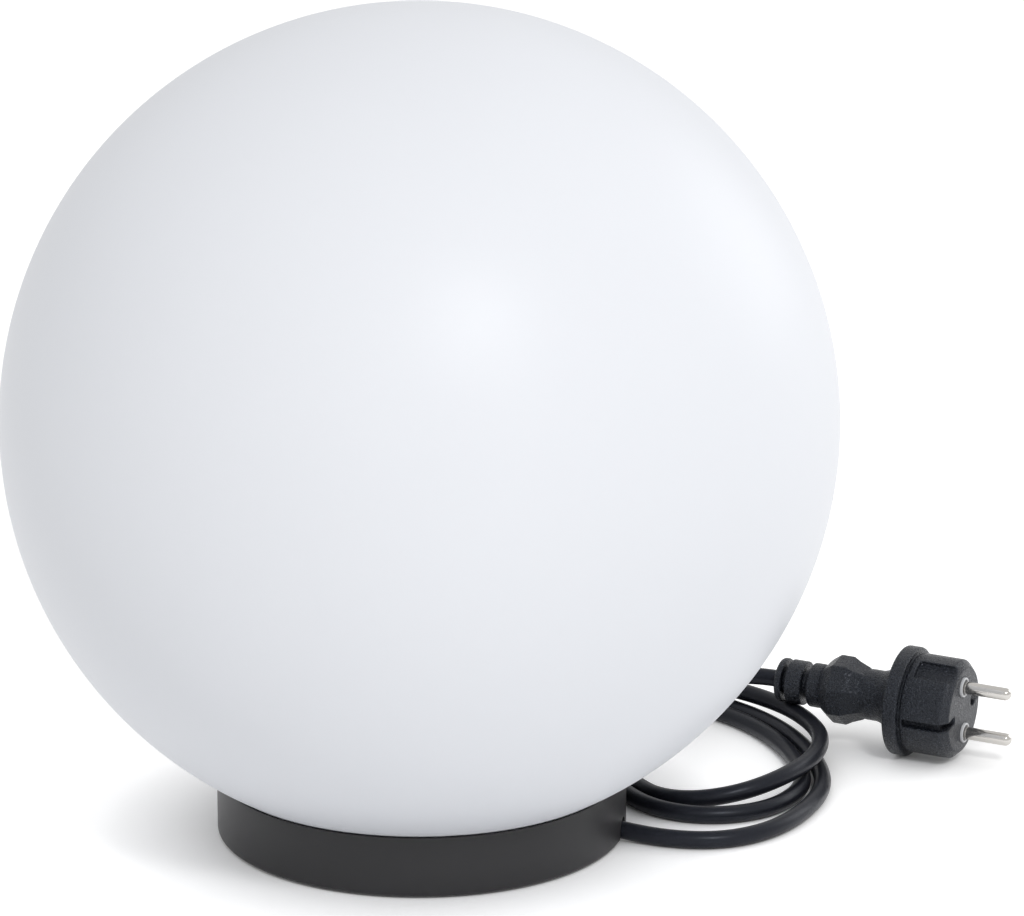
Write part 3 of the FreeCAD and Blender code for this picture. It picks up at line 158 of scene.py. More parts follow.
def smooth(piece, degrees=40.0):
    """Smooth faces, with the edges sharper than the angle left crisp."""
    for face in piece.data.polygons:
        face.use_smooth = True
    limit = math.radians(degrees)
    shape = bmesh.new()
    shape.from_mesh(piece.data)
    for edge in shape.edges:
        edge.smooth = len(edge.link_faces) == 2 and edge.calc_face_angle() < limit
    shape.to_mesh(piece.data)
    shape.free()
    return piece


def eased(outline, steps=5):
    """The outline with its corners rounded. A corner is (radius, height) or (radius, height, rounding)."""
    result = []
    count = len(outline)
    for index, corner in enumerate(outline):
        here = Vector(corner[:2])
        rounding = corner[2] if len(corner) > 2 else 0.0
        if rounding <= 0.0:
            result.append(here)
            continue
        back = Vector(outline[index - 1][:2]) - here
        ahead = Vector(outline[(index + 1) % count][:2]) - here
        half = back.angle(ahead) / 2
        reach = min(rounding / math.tan(half), back.length * 0.49, ahead.length * 0.49)
        radius = reach * math.tan(half)
        middle = here + (back.normalized() + ahead.normalized()).normalized() * (radius / math.sin(half))
        first = here + back.normalized() * reach - middle
        last = here + ahead.normalized() * reach - middle
        sweep = first.angle_signed(last)
        for step in range(steps + 1):
            spoke = first.copy()
            spoke.rotate(Matrix.Rotation(-sweep * step / steps, 2))
            result.append(middle + spoke)
    return result


def turned_shape(outline, sides=128):
    """A closed outline of (radius, height) turned about Z, poles closed."""
    shape = bmesh.new()
    rings = []
    for radius, height in outline:
        if radius < 1e-7:
            rings.append([shape.verts.new((0.0, 0.0, height))])
            continue
        ring = []
        for side in range(sides):
            angle = TURN * side / sides
            ring.append(shape.verts.new((radius * math.cos(angle), radius * math.sin(angle), height)))
        rings.append(ring)
    for index, ring in enumerate(rings):
        following = rings[(index + 1) % len(rings)]
        if len(ring) == 1 and len(following) == 1:
            continue
        for side in range(sides):
            beyond = (side + 1) % sides
            corners = [ring[side % len(ring)], ring[beyond % len(ring)]]
            corners += [following[beyond % len(following)], following[side % len(following)]]
            shape.faces.new(list(dict.fromkeys(corners)))
    bmesh.ops.recalc_face_normals(shape, faces=shape.faces)
    return shape


def lathe(name, outline, sides=128, steps=5):
    """A piece turned about Z, its corners rounded and its faces still flat."""
    return mesh_object(name, turned_shape(eased(outline, steps), sides))


def turned(name, outline, sides=128, steps=5):
    return smooth(lathe(name, outline, sides, steps))


def mm(points, height=0.0):
    """An outline given in millimetres, in metres and raised by a height."""
    result = []
    for radius, level, *rounding in points:
        result.append((radius * MM, height + level * MM, *[value * MM for value in rounding]))
    return result


def arc(centre, radius, start, end, steps):
    """Points of an arc in the outline's plane, angles in degrees from +radius towards +height."""
    points = []
    for step in range(steps + 1):
        angle = math.radians(start + (end - start) * step / steps)
        points.append((centre[0] + radius * math.cos(angle), centre[1] + radius * math.sin(angle)))
    return points


def block(name, low, high):
    """A box between two opposite corners."""
    shape = bmesh.new()
    bmesh.ops.create_cube(shape, size=1.0)
    low, high = Vector(low), Vector(high)
    for corner in shape.verts:
        share = [value + 0.5 for value in corner.co]
        corner.co = [low[axis] + (high[axis] - low[axis]) * share[axis] for axis in range(3)]
    return mesh_object(name, shape)


def rod(name, radius, low, high, sides=48):
    """A plain cylinder about Z."""
    return mesh_object(name, turned_shape([(0.0, low), (radius, low), (radius, high), (0.0, high)], sides))


def dome_outline(centre, radius, inner, low, low_in, steps, steps_in):
    """The outside and then the inside of a hollow dome, up to its crown, from its lower angles."""
    outside = arc((0.0, centre), radius, low, 90.0, steps)
    inside = arc((0.0, centre), inner, 90.0, low_in, steps_in)
    outside[-1] = (0.0, outside[-1][1])
    inside[0] = (0.0, inside[0][1])
    return outside + inside


def finished(piece):
    """The piece with its modifiers made part of the mesh."""
    graph = bpy.context.evaluated_depsgraph_get()
    mesh = bpy.data.meshes.new_from_object(piece.evaluated_get(graph), depsgraph=graph)
    old = piece.data
    piece.modifiers.clear()
    piece.data = mesh
    bpy.data.meshes.remove(old)
    return piece


def cut_away(piece, tools):
    """The piece without the space of the tools."""
    for tool in tools:
        change = piece.modifiers.new("opening", "BOOLEAN")
        change.operation = "DIFFERENCE"
        change.solver = "EXACT"
        change.object = tool
    finished(piece)
    for tool in tools:
        bpy.data.objects.remove(tool)
    return piece


def joined(name, pieces):
    shape = bmesh.new()
    for piece in pieces:
        shape.from_mesh(piece.data)
        bpy.data.objects.remove(piece)
    return mesh_object(name, shape)


def placed(piece, matrix):
    """The piece with its place put into its mesh."""
    piece.data.transform(matrix)
    piece.data.update()
    return piece


def moved(piece, x, y, z=0.0):
    return placed(piece, Matrix.Translation((x, y, z)))


def lying(piece, y=0.0, z=0.0):
    """A piece turned about Z laid along +X."""
    return placed(piece, Matrix.Translation((0.0, y, z)) @ Matrix.Rotation(math.pi / 2, 4, "Y"))


def dressed(piece, slot, body, *nodes):
    """Gives the piece its material, hangs it under its body's empty and hides the imported nodes that it
    takes the place of.
    """
    piece.data.materials.clear()
    piece.data.materials.append(material(slot))
    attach(piece, body)
    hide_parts(*nodes)


# ---------------------------------------------------------------- geometry trees

def geometry_tree(name, inputs):
    """A tree that takes a mesh and gives one, with named inputs."""
    tree = bpy.data.node_groups.new(name, "GeometryNodeTree")
    tree.interface.new_socket("Mesh", in_out="INPUT", socket_type="NodeSocketGeometry")
    for label, kind in inputs:
        tree.interface.new_socket(label, in_out="INPUT", socket_type=kind)
    tree.interface.new_socket("Mesh", in_out="OUTPUT", socket_type="NodeSocketGeometry")
    start = tree.nodes.new("NodeGroupInput")
    end = tree.nodes.new("NodeGroupOutput")
    return tree, start, end


def add_node(tree, kind, **inputs):
    """A new node. An input, its name written with underscores, takes a value or a link."""
    node = tree.nodes.new(kind)
    for label, value in inputs.items():
        socket = node.inputs[label.replace("_", " ")]
        if isinstance(value, bpy.types.NodeSocket):
            tree.links.new(value, socket)
        else:
            socket.default_value = value
    return node


def add_math(tree, operation, first, second=None):
    node = tree.nodes.new("ShaderNodeMath")
    node.operation = operation
    for index, value in enumerate((first, second)):
        if isinstance(value, (int, float)):
            node.inputs[index].default_value = value
        elif value is not None:
            tree.links.new(value, node.inputs[index])
    return node.outputs[0]


def close_tree(tree, geometry, end, material_socket):
    """Makes the result real geometry in its material."""
    real = add_node(tree, "GeometryNodeRealizeInstances", Geometry=geometry)
    finish_node = add_node(tree, "GeometryNodeSetMaterial", Geometry=real.outputs["Geometry"],
                           Material=material_socket)
    tree.links.new(finish_node.outputs["Geometry"], end.inputs["Mesh"])
    return tree


def ring_tree():
    """Copies of one small piece evenly round a circle about Z, each turned to face outwards."""
    tree, start, end = geometry_tree("ring_of_pieces", [
        ("Count", "NodeSocketInt"),
        ("Radius", "NodeSocketFloat"),
        ("First Angle", "NodeSocketFloat"),
        ("Finish", "NodeSocketMaterial"),
    ])
    given = start.outputs
    calc = partial(add_math, tree)
    share = calc("DIVIDE", add_node(tree, "GeometryNodeInputIndex").outputs["Index"], given["Count"])
    angle = calc("ADD", calc("MULTIPLY", share, TURN), given["First Angle"])
    spot = add_node(tree, "ShaderNodeCombineXYZ",
                    X=calc("MULTIPLY", calc("COSINE", angle), given["Radius"]),
                    Y=calc("MULTIPLY", calc("SINE", angle), given["Radius"]))
    line = add_node(tree, "GeometryNodeMeshLine", Count=given["Count"])
    place = add_node(tree, "GeometryNodeSetPosition", Geometry=line.outputs["Mesh"],
                     Position=spot.outputs["Vector"])
    facing = add_node(tree, "ShaderNodeCombineXYZ", Z=angle)
    turn = add_node(tree, "FunctionNodeEulerToRotation", Euler=facing.outputs["Vector"])
    copies = add_node(tree, "GeometryNodeInstanceOnPoints", Points=place.outputs["Geometry"],
                      Instance=given["Mesh"], Rotation=turn.outputs["Rotation"])
    return close_tree(tree, copies.outputs["Instances"], end, given["Finish"])


def thread_tree():
    """Presses a rounded screw thread into a straight tube about Z."""
    tree, start, end = geometry_tree("pressed_thread", [
        ("Pitch", "NodeSocketFloat"),
        ("Depth", "NodeSocketFloat"),
        ("Start", "NodeSocketFloat"),
        ("End", "NodeSocketFloat"),
        ("Finish", "NodeSocketMaterial"),
    ])
    given = start.outputs
    calc = partial(add_math, tree)
    where = add_node(tree, "GeometryNodeInputPosition").outputs["Position"]
    x, y, z = add_node(tree, "ShaderNodeSeparateXYZ", Vector=where).outputs
    angle = calc("ARCTAN2", y, x)
    share = calc("SUBTRACT", calc("DIVIDE", z, given["Pitch"]), calc("DIVIDE", angle, TURN))
    wave = calc("COSINE", calc("MULTIPLY", share, TURN))
    hollow = calc("MULTIPLY", calc("SUBTRACT", wave, 1.0), 0.5)
    # The thread fades out over half a pitch at each end.
    above = calc("DIVIDE", calc("SUBTRACT", z, given["Start"]), given["Pitch"])
    below = calc("DIVIDE", calc("SUBTRACT", given["End"], z), given["Pitch"])
    near = calc("MULTIPLY", calc("MINIMUM", above, below), 2.0)
    fade = calc("MAXIMUM", calc("MINIMUM", near, 1.0), 0.0)
    depth = calc("MULTIPLY", calc("MULTIPLY", hollow, fade), given["Depth"])
    inwards = add_node(tree, "ShaderNodeCombineXYZ",
                       X=calc("MULTIPLY", calc("COSINE", angle), depth),
                       Y=calc("MULTIPLY", calc("SINE", angle), depth))
    move = add_node(tree, "GeometryNodeSetPosition", Geometry=given["Mesh"],
                    Offset=inwards.outputs["Vector"])
    return close_tree(tree, move.outputs["Geometry"], end, given["Finish"])


def grown(piece, tree, **values):
    """Runs a geometry tree on the piece. Input names are written with underscores."""
    change = piece.modifiers.new(tree.name, "NODES")
    change.node_group = tree
    sockets = {item.name: item.identifier for item in tree.interface.items_tree if item.in_out == "INPUT"}
    for label, value in values.items():
        change[sockets[label.replace("_", " ")]] = value
    return finished(piece)


def tree_of(name, maker):
    return bpy.data.node_groups.get(name) or maker()


def ring_of(piece, count, radius, slot, first_angle=0.0):
    tree = tree_of("ring_of_pieces", ring_tree)
    return grown(piece, tree, Count=count, Radius=radius, First_Angle=first_angle, Finish=material(slot))


def threaded(piece, pitch, depth, start, end, slot):
    tree = tree_of("pressed_thread", thread_tree)
    return grown(piece, tree, Pitch=pitch, Depth=depth, Start=start, End=end, Finish=material(slot))


# ---------------------------------------------------------------- shader groups

def shader_group(name, inputs, outputs):
    group = bpy.data.node_groups.new(name, "ShaderNodeTree")
    for label, kind, value in inputs:
        group.interface.new_socket(label, in_out="INPUT", socket_type=kind).default_value = value
    for label, kind in outputs:
        group.interface.new_socket(label, in_out="OUTPUT", socket_type=kind)
    return group, group.nodes.new("NodeGroupInput"), group.nodes.new("NodeGroupOutput")


def add_noise(group, vector, scale, detail, roughness):
    noise = add_node(group, "ShaderNodeTexNoise", Vector=vector, Scale=scale, Detail=detail,
                     Roughness=roughness)
    return noise.outputs["Fac"]


def close_group(group, end, colour_socket, shade, gloss, height):
    """Hands out the colour, made lighter or darker by a factor, with gloss and relief."""
    tint = add_node(group, "ShaderNodeHueSaturation", Value=shade, Color=colour_socket)
    group.links.new(tint.outputs["Color"], end.inputs["Colour"])
    group.links.new(gloss, end.inputs["Roughness"])
    group.links.new(height, end.inputs["Height"])
    return group


SKIN_OUTPUTS = (
    ("Colour", "NodeSocketColor"),
    ("Roughness", "NodeSocketFloat"),
    ("Height", "NodeSocketFloat"),
)


def moulded_skin():
    """Moulded plastic: broad faint clouds in colour and gloss, and a fine grain."""
    group, start, end = shader_group("moulded_skin", [
        ("Colour", "NodeSocketColor", (0.5, 0.5, 0.5, 1.0)),
        ("Cloud Scale", "NodeSocketFloat", 20.0),
        ("Cloud Amount", "NodeSocketFloat", 0.1),
        ("Grain Scale", "NodeSocketFloat", 2500.0),
        ("Roughness", "NodeSocketFloat", 0.5),
        ("Roughness Spread", "NodeSocketFloat", 0.1),
    ], SKIN_OUTPUTS)
    given = start.outputs
    calc = partial(add_math, group)
    where = group.nodes.new("ShaderNodeTexCoord").outputs["Object"]
    clouds = calc("SUBTRACT", add_noise(group, where, given["Cloud Scale"], 4.0, 0.55), 0.5)
    grain = add_noise(group, where, given["Grain Scale"], 3.0, 0.6)
    shade = calc("ADD", calc("MULTIPLY", clouds, given["Cloud Amount"]), 1.0)
    uneven = calc("ADD", clouds, calc("SUBTRACT", grain, 0.5))
    gloss = calc("ADD", calc("MULTIPLY", uneven, given["Roughness Spread"]), given["Roughness"])
    return close_group(group, end, given["Colour"], shade, gloss, grain)


def eroded_rubber():
    """Spark-eroded rubber: pale specks on a dark ground, with the relief of the mould."""
    group, start, end = shader_group("eroded_rubber", [
        ("Colour", "NodeSocketColor", (0.02, 0.02, 0.02, 1.0)),
        ("Speck Scale", "NodeSocketFloat", 900.0),
        ("Speck Amount", "NodeSocketFloat", 0.6),
        ("Roughness", "NodeSocketFloat", 0.6),
    ], SKIN_OUTPUTS)
    given = start.outputs
    calc = partial(add_math, group)
    where = group.nodes.new("ShaderNodeTexCoord").outputs["Object"]
    specks = add_noise(group, where, given["Speck Scale"], 3.0, 0.65)
    broad = add_noise(group, where, 60.0, 3.0, 0.5)
    sharp = add_node(group, "ShaderNodeMapRange", Value=specks, From_Min=0.36, From_Max=0.66)
    sharp.interpolation_type = "SMOOTHSTEP"
    height = sharp.outputs["Result"]
    shade = calc("MULTIPLY", calc("SUBTRACT", height, 0.4), given["Speck Amount"])
    shade = calc("ADD", shade, calc("ADD", calc("MULTIPLY", broad, 0.3), 0.85))
    gloss = calc("SUBTRACT", given["Roughness"], calc("MULTIPLY", height, 0.12))
    return close_group(group, end, given["Colour"], shade, gloss, height)


def drawn_metal():
    """Turned or drawn metal: fine lines across the stretched direction and faint stains."""
    group, start, end = shader_group("drawn_metal", [
        ("Colour", "NodeSocketColor", (0.6, 0.6, 0.6, 1.0)),
        ("Line Stretch", "NodeSocketVector", (60.0, 60.0, 3500.0)),
        ("Stain Amount", "NodeSocketFloat", 0.15),
        ("Roughness", "NodeSocketFloat", 0.25),
        ("Roughness Spread", "NodeSocketFloat", 0.15),
    ], SKIN_OUTPUTS)
    given = start.outputs
    calc = partial(add_math, group)
    where = group.nodes.new("ShaderNodeTexCoord").outputs["Object"]
    stretch = group.nodes.new("ShaderNodeVectorMath")
    stretch.operation = "MULTIPLY"
    group.links.new(where, stretch.inputs[0])
    group.links.new(given["Line Stretch"], stretch.inputs[1])
    lines = add_noise(group, stretch.outputs["Vector"], 1.0, 2.0, 0.5)
    stains = calc("SUBTRACT", add_noise(group, where, 140.0, 4.0, 0.6), 0.5)
    shade = calc("ADD", calc("MULTIPLY", stains, given["Stain Amount"]), 1.0)
    uneven = calc("ADD", calc("SUBTRACT", lines, 0.5), stains)
    gloss = calc("ADD", calc("MULTIPLY", uneven, given["Roughness Spread"]), given["Roughness"])
    return close_group(group, end, given["Colour"], shade, gloss, lines)


# ---------------------------------------------------------------- materials

def finish(name, maker, tone, bump_distance, bump_strength, shader, **values):
    """A material on one of the shader groups. Group inputs are written with underscores."""
    title = f"{name}_finish"
    found = bpy.data.materials.get(title)
    if found:
        return found
    made = bpy.data.materials.new(title)
    made.use_nodes = True
    tree = made.node_tree
    principled = tree.nodes["Principled BSDF"]
    skin = tree.nodes.new("ShaderNodeGroup")
    skin.node_tree = tree_of(maker.__name__, maker)
    skin.inputs["Colour"].default_value = (*tone, 1.0)
    for label, value in values.items():
        skin.inputs[label.replace("_", " ")].default_value = value
    bump = add_node(tree, "ShaderNodeBump", Distance=bump_distance, Strength=bump_strength,
                    Height=skin.outputs["Height"])
    tree.links.new(skin.outputs["Colour"], principled.inputs["Base Color"])
    tree.links.new(skin.outputs["Roughness"], principled.inputs["Roughness"])
    tree.links.new(bump.outputs["Normal"], principled.inputs["Normal"])
    for label, value in shader.items():
        principled.inputs[label].default_value = value
    return made


def plastic(name, tone, roughness, grain, clouds, bump, specular):
    return finish(name, moulded_skin, tone, bump, 0.35, {"Specular IOR Level": specular},
                  Roughness=roughness, Grain_Scale=grain, Cloud_Amount=clouds)


def metal(name, tone, roughness, lines, stains, spread):
    return finish(name, drawn_metal, tone, 0.00002, 0.25, {"Metallic": 1.0},
                  Roughness=roughness, Line_Stretch=lines, Stain_Amount=stains, Roughness_Spread=spread)


def rubber(name, tone, roughness, specks, amount, bump, strength, specular):
    shader = {"Specular IOR Level": specular, "Specular Tint": (0.84, 0.89, 1.0, 1.0)}
    return finish(name, eroded_rubber, tone, bump, strength, shader,
                  Roughness=roughness, Speck_Scale=specks, Speck_Amount=amount)


ALONG_Z = (60.0, 60.0, 3500.0)
# Each finish: its maker, its colour or the setting that holds it, and the maker's other values.
FINISHES = {
    "opal_plastic": (plastic, "globe_ball.opal", 0.42, 900.0, 0.02, 0.00005, 0.3),
    "dark_plastic": (plastic, "globe_base.plastic", 0.4, 3200.0, 0.14, 0.00006, 0.3),
    "ring_plastic": (plastic, (0.62, 0.63, 0.65), 0.4, 2500.0, 0.12, 0.00004, 0.5),
    "black_bakelite": (plastic, "globe_holder.bakelite", 0.28, 1500.0, 0.3, 0.00003, 0.5),
    "black_glass": (plastic, (0.01, 0.01, 0.012), 0.08, 900.0, 0.1, 0.00001, 0.6),
    "white_ceramic": (plastic, (0.74, 0.73, 0.7), 0.32, 1200.0, 0.05, 0.00004, 0.5),
    "white_plastic": (plastic, (0.76, 0.77, 0.78), 0.36, 2000.0, 0.03, 0.00003, 0.45),
    "bulb_opal": (plastic, (0.84, 0.84, 0.83), 0.5, 2600.0, 0.02, 0.00003, 0.4),
    "green_board": (plastic, (0.02, 0.12, 0.045), 0.35, 700.0, 0.5, 0.00004, 0.5),
    "terminal_plastic": (plastic, (0.6, 0.6, 0.57), 0.45, 1500.0, 0.06, 0.00004, 0.4),
    "brown_core": (plastic, (0.07, 0.026, 0.012), 0.42, 1800.0, 0.1, 0.00003, 0.4),
    "blue_core": (plastic, (0.012, 0.07, 0.3), 0.42, 1800.0, 0.1, 0.00003, 0.4),
    "cord_rubber": (rubber, "globe_cord.rubber", 0.4, 1500.0, 0.16, 0.00003, 0.35, 0.26),
    "plug_rubber": (rubber, "globe_plug.rubber", 0.36, 1150.0, 1.2, 0.0003, 0.8, 0.5),
    "black_rubber": (rubber, (0.014, 0.014, 0.015), 0.72, 1400.0, 0.4, 0.00008, 0.5, 0.3),
    "pin_metal": (metal, (0.62, 0.60, 0.57), 0.16, (1500.0, 600.0, 80.0), 0.1, 0.08),
    "zinc_steel": (metal, (0.56, 0.57, 0.6), 0.3, (900.0, 900.0, 120.0), 0.25, 0.15),
    "bright_steel": (metal, (0.6, 0.6, 0.61), 0.24, (80.0, 2600.0, 80.0), 0.15, 0.12),
    "nickel_metal": (metal, (0.66, 0.64, 0.6), 0.2, ALONG_Z, 0.15, 0.1),
    "brass_metal": (metal, (0.68, 0.5, 0.22), 0.26, (60.0, 60.0, 3200.0), 0.3, 0.12),
}


def material(slot):
    maker, tone, *values = FINISHES[slot]
    if isinstance(tone, str):
        group, setting = tone.split(".")
        tone = getattr(getattr(bpy.context.scene, group), setting)
    return maker(slot, tone, *values)


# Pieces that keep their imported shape, and their finishes.
FITTINGS = {
    "cover_gasket": "black_rubber",
    "neck_seal": "black_rubber",
    "cable_relief": "black_rubber",
    "cable_sheath": "cord_rubber",
    "holder_bracket": "bright_steel",
    "bracket_screws": "zinc_steel",
    "clamp_screws": "zinc_steel",
    "threaded_nipple": "bright_steel",
    "nipple_nuts": "zinc_steel",
    "cord_clamp": "white_plastic",
    "contact_carrier": "white_ceramic",
    "centre_contact": "brass_metal",
    "shell_contact": "brass_metal",
    "bulb_tip_contact": "nickel_metal",
    "bulb_cap_insulator": "black_glass",
    "bulb_driver_board": "green_board",
    "terminal_block": "terminal_plastic",
    "terminal_screws": "brass_metal",
    "live_core": "brown_core",
    "live_wire": "brown_core",
    "neutral_core": "blue_core",
    "neutral_wire": "blue_core",
}


# ---------------------------------------------------------------- the ball

class BallOperator(bpy.types.Operator):
    """The opal ball with its neck, one hollow moulding"""
    bl_idname = "globe_light.ball"
    bl_label = "Ball"

    def execute(self, context):
        sizes = context.scene.globe_ball
        radius = sizes.diameter / 2
        inner = radius - sizes.wall
        neck = sizes.neck / 2
        bore = neck - sizes.wall
        low = math.degrees(math.asin(neck / radius)) - 90.0
        low_in = math.degrees(math.asin(bore / inner)) - 90.0
        edge = 0.7 * MM
        outline = [(bore, sizes.neck_end, edge), (neck, sizes.neck_end, edge)]
        outline += dome_outline(sizes.centre, radius, inner, low, low_in, 110, 80)
        dressed(turned("globe_shell_moulding", outline, 192, 4), "opal_plastic", "ball", "globe_shell")
        return {"FINISHED"}


# ---------------------------------------------------------------- the base

COVER_SCREWS = 4
SCREW_CIRCLE = 34.0 * MM
SCREW_HOLE = 1.6 * MM
FOOT_CIRCLE = 52.0 * MM
RIB_CIRCLE = 49.6 * MM
PLATE_SCREW = 17.0 * MM  # from the middle to each screw of the steel plate
DECK = 20.6  # bosses and ribs end inside the deck at this height, in millimetres
CABLE_AZIMUTH = -12.0  # degrees
CABLE_SLOPE = 12.0  # degrees
CABLE_HEIGHT = 10.6 * MM
CABLE_REACH = 41.0 * MM
NOTCH = 4.7 * MM
NOTCH_HEIGHT = 4.1 * MM


def rim_height(ball, base, radius):
    """Height of the base's rim, which follows the ball a gap below it."""
    return ball.centre - math.sqrt((ball.diameter / 2 + base.ball_gap) ** 2 - radius ** 2)


def cable_place():
    """+X runs out along the lead through the wall of the wiring box."""
    azimuth = math.radians(CABLE_AZIMUTH)
    turns = Euler((0.0, math.radians(CABLE_SLOPE), azimuth), "XYZ")
    spot = (CABLE_REACH * math.cos(azimuth), CABLE_REACH * math.sin(azimuth), CABLE_HEIGHT)
    return Matrix.Translation(spot) @ turns.to_matrix().to_4x4()


class BaseOperator(bpy.types.Operator):
    """The base ring with its channel, deck, wiring box and ribs"""
    bl_idname = "globe_light.base"
    bl_label = "Base"

    def execute(self, context):
        ball = context.scene.globe_ball
        sizes = context.scene.globe_base
        outer = sizes.diameter / 2
        inner = outer - sizes.wall
        soft = 0.4 * MM
        outline = mm([
            (5.1, 22.0, 0.4),
            (62.4, 22.0, 0.9),
            (62.4, 16.9),
            (60.3, 16.9),
            (60.3, 14.1),
            (62.4, 14.1),
            (62.4, 11.0, 0.4),
        ])
        outline += [
            (inner, 11.0 * MM, soft),
            (inner, rim_height(ball, sizes, inner), 0.25 * MM),
            (outer, rim_height(ball, sizes, outer), 0.35 * MM),
            (outer, sizes.lift, sizes.rounding),
            (inner, sizes.lift, soft),
            (inner, 9.0 * MM, soft),
        ]
        outline += mm([
            (60.2, 9.0, 0.4),
            (60.2, 12.1),
            (58.2, 14.1),
            (58.2, 20.0, 0.4),
            (41.0, 20.0, 0.4),
            (41.0, 4.0, 0.4),
            (39.0, 4.0, 0.4),
            (39.0, 20.0, 0.4),
            (5.1, 20.0, 0.4),
        ])
        shell = turned("base_turned", outline, 256, 6)
        cut_away(shell, self.cable_way(sizes) + self.screw_holes())
        rib = block("rib", (-9.1 * MM, -1.0 * MM, 13.0 * MM), (9.1 * MM, 1.0 * MM, DECK * MM))
        pieces = [
            shell,
            ring_of(rib, sizes.ribs, RIB_CIRCLE, "dark_plastic"),
            self.bosses("screw_boss", COVER_SCREWS, SCREW_CIRCLE, 32,
                        bore=1.6, outer=3.5, low=3.2, end=12.2, edge=0.3),
            self.bosses("foot_boss", sizes.feet, FOOT_CIRCLE, 48,
                        bore=5.6, outer=7.3, low=1.6, end=2.4, edge=0.4),
            self.entry_boss(),
            self.saddle(),
        ]
        piece = smooth(joined("base_moulding", pieces), 35.0)
        dressed(piece, "dark_plastic", "base", "base_housing")
        return {"FINISHED"}

    def cable_way(self, sizes):
        """The notch in the outer wall, the groove under the floor and the hole in the wiring box."""
        turn = Matrix.Rotation(math.radians(CABLE_AZIMUTH), 4, "Z")
        start = sizes.diameter / 2 - sizes.wall - 3.0 * MM
        beyond = 80.0 * MM
        arch = lying(rod("notch", NOTCH, start, beyond, 64), z=NOTCH_HEIGHT)
        gap = block("notch_gap", (start, -NOTCH, -2.0 * MM), (beyond, NOTCH, NOTCH_HEIGHT))
        tools = [placed(arch, turn), placed(gap, turn)]
        for radius, low, high in ((4.9 * MM, -6.0 * MM, 2.2 * MM), (3.65 * MM, 9.0 * MM, 27.0 * MM)):
            tools.append(placed(lying(rod("cable_way", radius, low, high)), cable_place()))
        return tools

    def screw_holes(self):
        """The two holes for the steel plate's screws."""
        tools = []
        for side in (-1, 1):
            hole = rod("screw_hole", SCREW_HOLE, 18.0 * MM, 24.0 * MM, 24)
            tools.append(moved(hole, side * PLATE_SCREW, 0.0))
        return tools

    def bosses(self, name, count, circle, sides, bore, outer, low, end, edge):
        """Bosses under the deck, each with a blind hole from below, in millimetres."""
        outline = mm([(bore, low), (outer, low, edge), (outer, DECK), (0.0, DECK), (0.0, end), (bore, end)])
        return ring_of(lathe(name, outline, sides), count, circle, "dark_plastic", TURN / 8)

    def entry_boss(self):
        outline = mm([(4.9, -5.0), (6.4, -5.0, 0.3), (6.4, 1.2, 0.3), (4.9, 1.2, 0.2)])
        return placed(lying(lathe("entry_boss", outline, 64)), cable_place())

    def saddle(self):
        """The block that the cord clamp presses the lead against."""
        middle = -10.3 * MM
        low, high = middle - 3.0 * MM, middle + 3.0 * MM
        body = block("saddle", (low, -10.0 * MM, 0.0), (high, 10.0 * MM, 7.2 * MM))
        tools = [lying(rod("groove", 3.35 * MM, middle - 6.0 * MM, middle + 6.0 * MM))]
        for side in (-1, 1):
            pilot = rod("pilot", SCREW_HOLE, -1.0 * MM, 9.0 * MM, 24)
            tools.append(moved(pilot, middle, side * 6.5 * MM))
        return placed(cut_away(body, tools), cable_place())


# ---------------------------------------------------------------- under the base

class UndersideOperator(bpy.types.Operator):
    """The rubber feet, and the cover of the wiring box with its screws"""
    bl_idname = "globe_light.underside"
    bl_label = "Underside"

    def execute(self, context):
        self.feet(context.scene.globe_base)
        self.cover()
        self.screws()
        return {"FINISHED"}

    def feet(self, sizes):
        outline = mm([(0.0, 0.5), (2.6, 0.5, 0.4), (3.3, 0.0, 0.3), (5.0, 0.0, 0.3), (5.5, 0.5, 0.2),
                      (5.5, 2.4, 0.1), (0.0, 2.4)])
        foot = lathe("rubber_foot_set", outline, 64)
        piece = smooth(ring_of(foot, sizes.feet, FOOT_CIRCLE, "black_rubber", TURN / 8))
        dressed(piece, "black_rubber", "base", "rubber_feet")

    def cover(self):
        outline = mm([(0.0, 2.2), (24.0, 2.2, 0.4), (25.0, 1.6, 0.3), (41.0, 1.6, 0.4), (41.0, 3.2, 0.1),
                      (0.0, 3.2)])
        piece = turned("wiring_cover", outline, 192)
        tools = []
        for number in range(COVER_SCREWS):
            angle = TURN * (number + 0.5) / COVER_SCREWS
            hole = rod("cover_hole", SCREW_HOLE, 0.0, 5.0 * MM, 32)
            tools.append(moved(hole, SCREW_CIRCLE * math.cos(angle), SCREW_CIRCLE * math.sin(angle)))
        dressed(smooth(cut_away(piece, tools)), "dark_plastic", "base", "base_cover")

    def screws(self):
        outline = mm([(0.0, 0.5), (2.4, 0.5, 0.3), (2.8, 1.0, 0.2), (2.8, 1.6), (1.5, 1.6), (1.5, 8.8),
                      (0.8, 10.2), (0.0, 10.2)])
        screw = lathe("cover_screw_set", outline, 32)
        reach, half, depth = 1.9 * MM, 0.35 * MM, 1.1 * MM
        cut_away(screw, [block("slot", (-reach, -half, 0.0), (reach, half, depth)),
                         block("slot", (-half, -reach, 0.0), (half, reach, depth))])
        piece = smooth(ring_of(screw, COVER_SCREWS, SCREW_CIRCLE, "zinc_steel", TURN / 8))
        dressed(piece, "zinc_steel", "base", "cover_screws")


# ---------------------------------------------------------------- the lamp holder

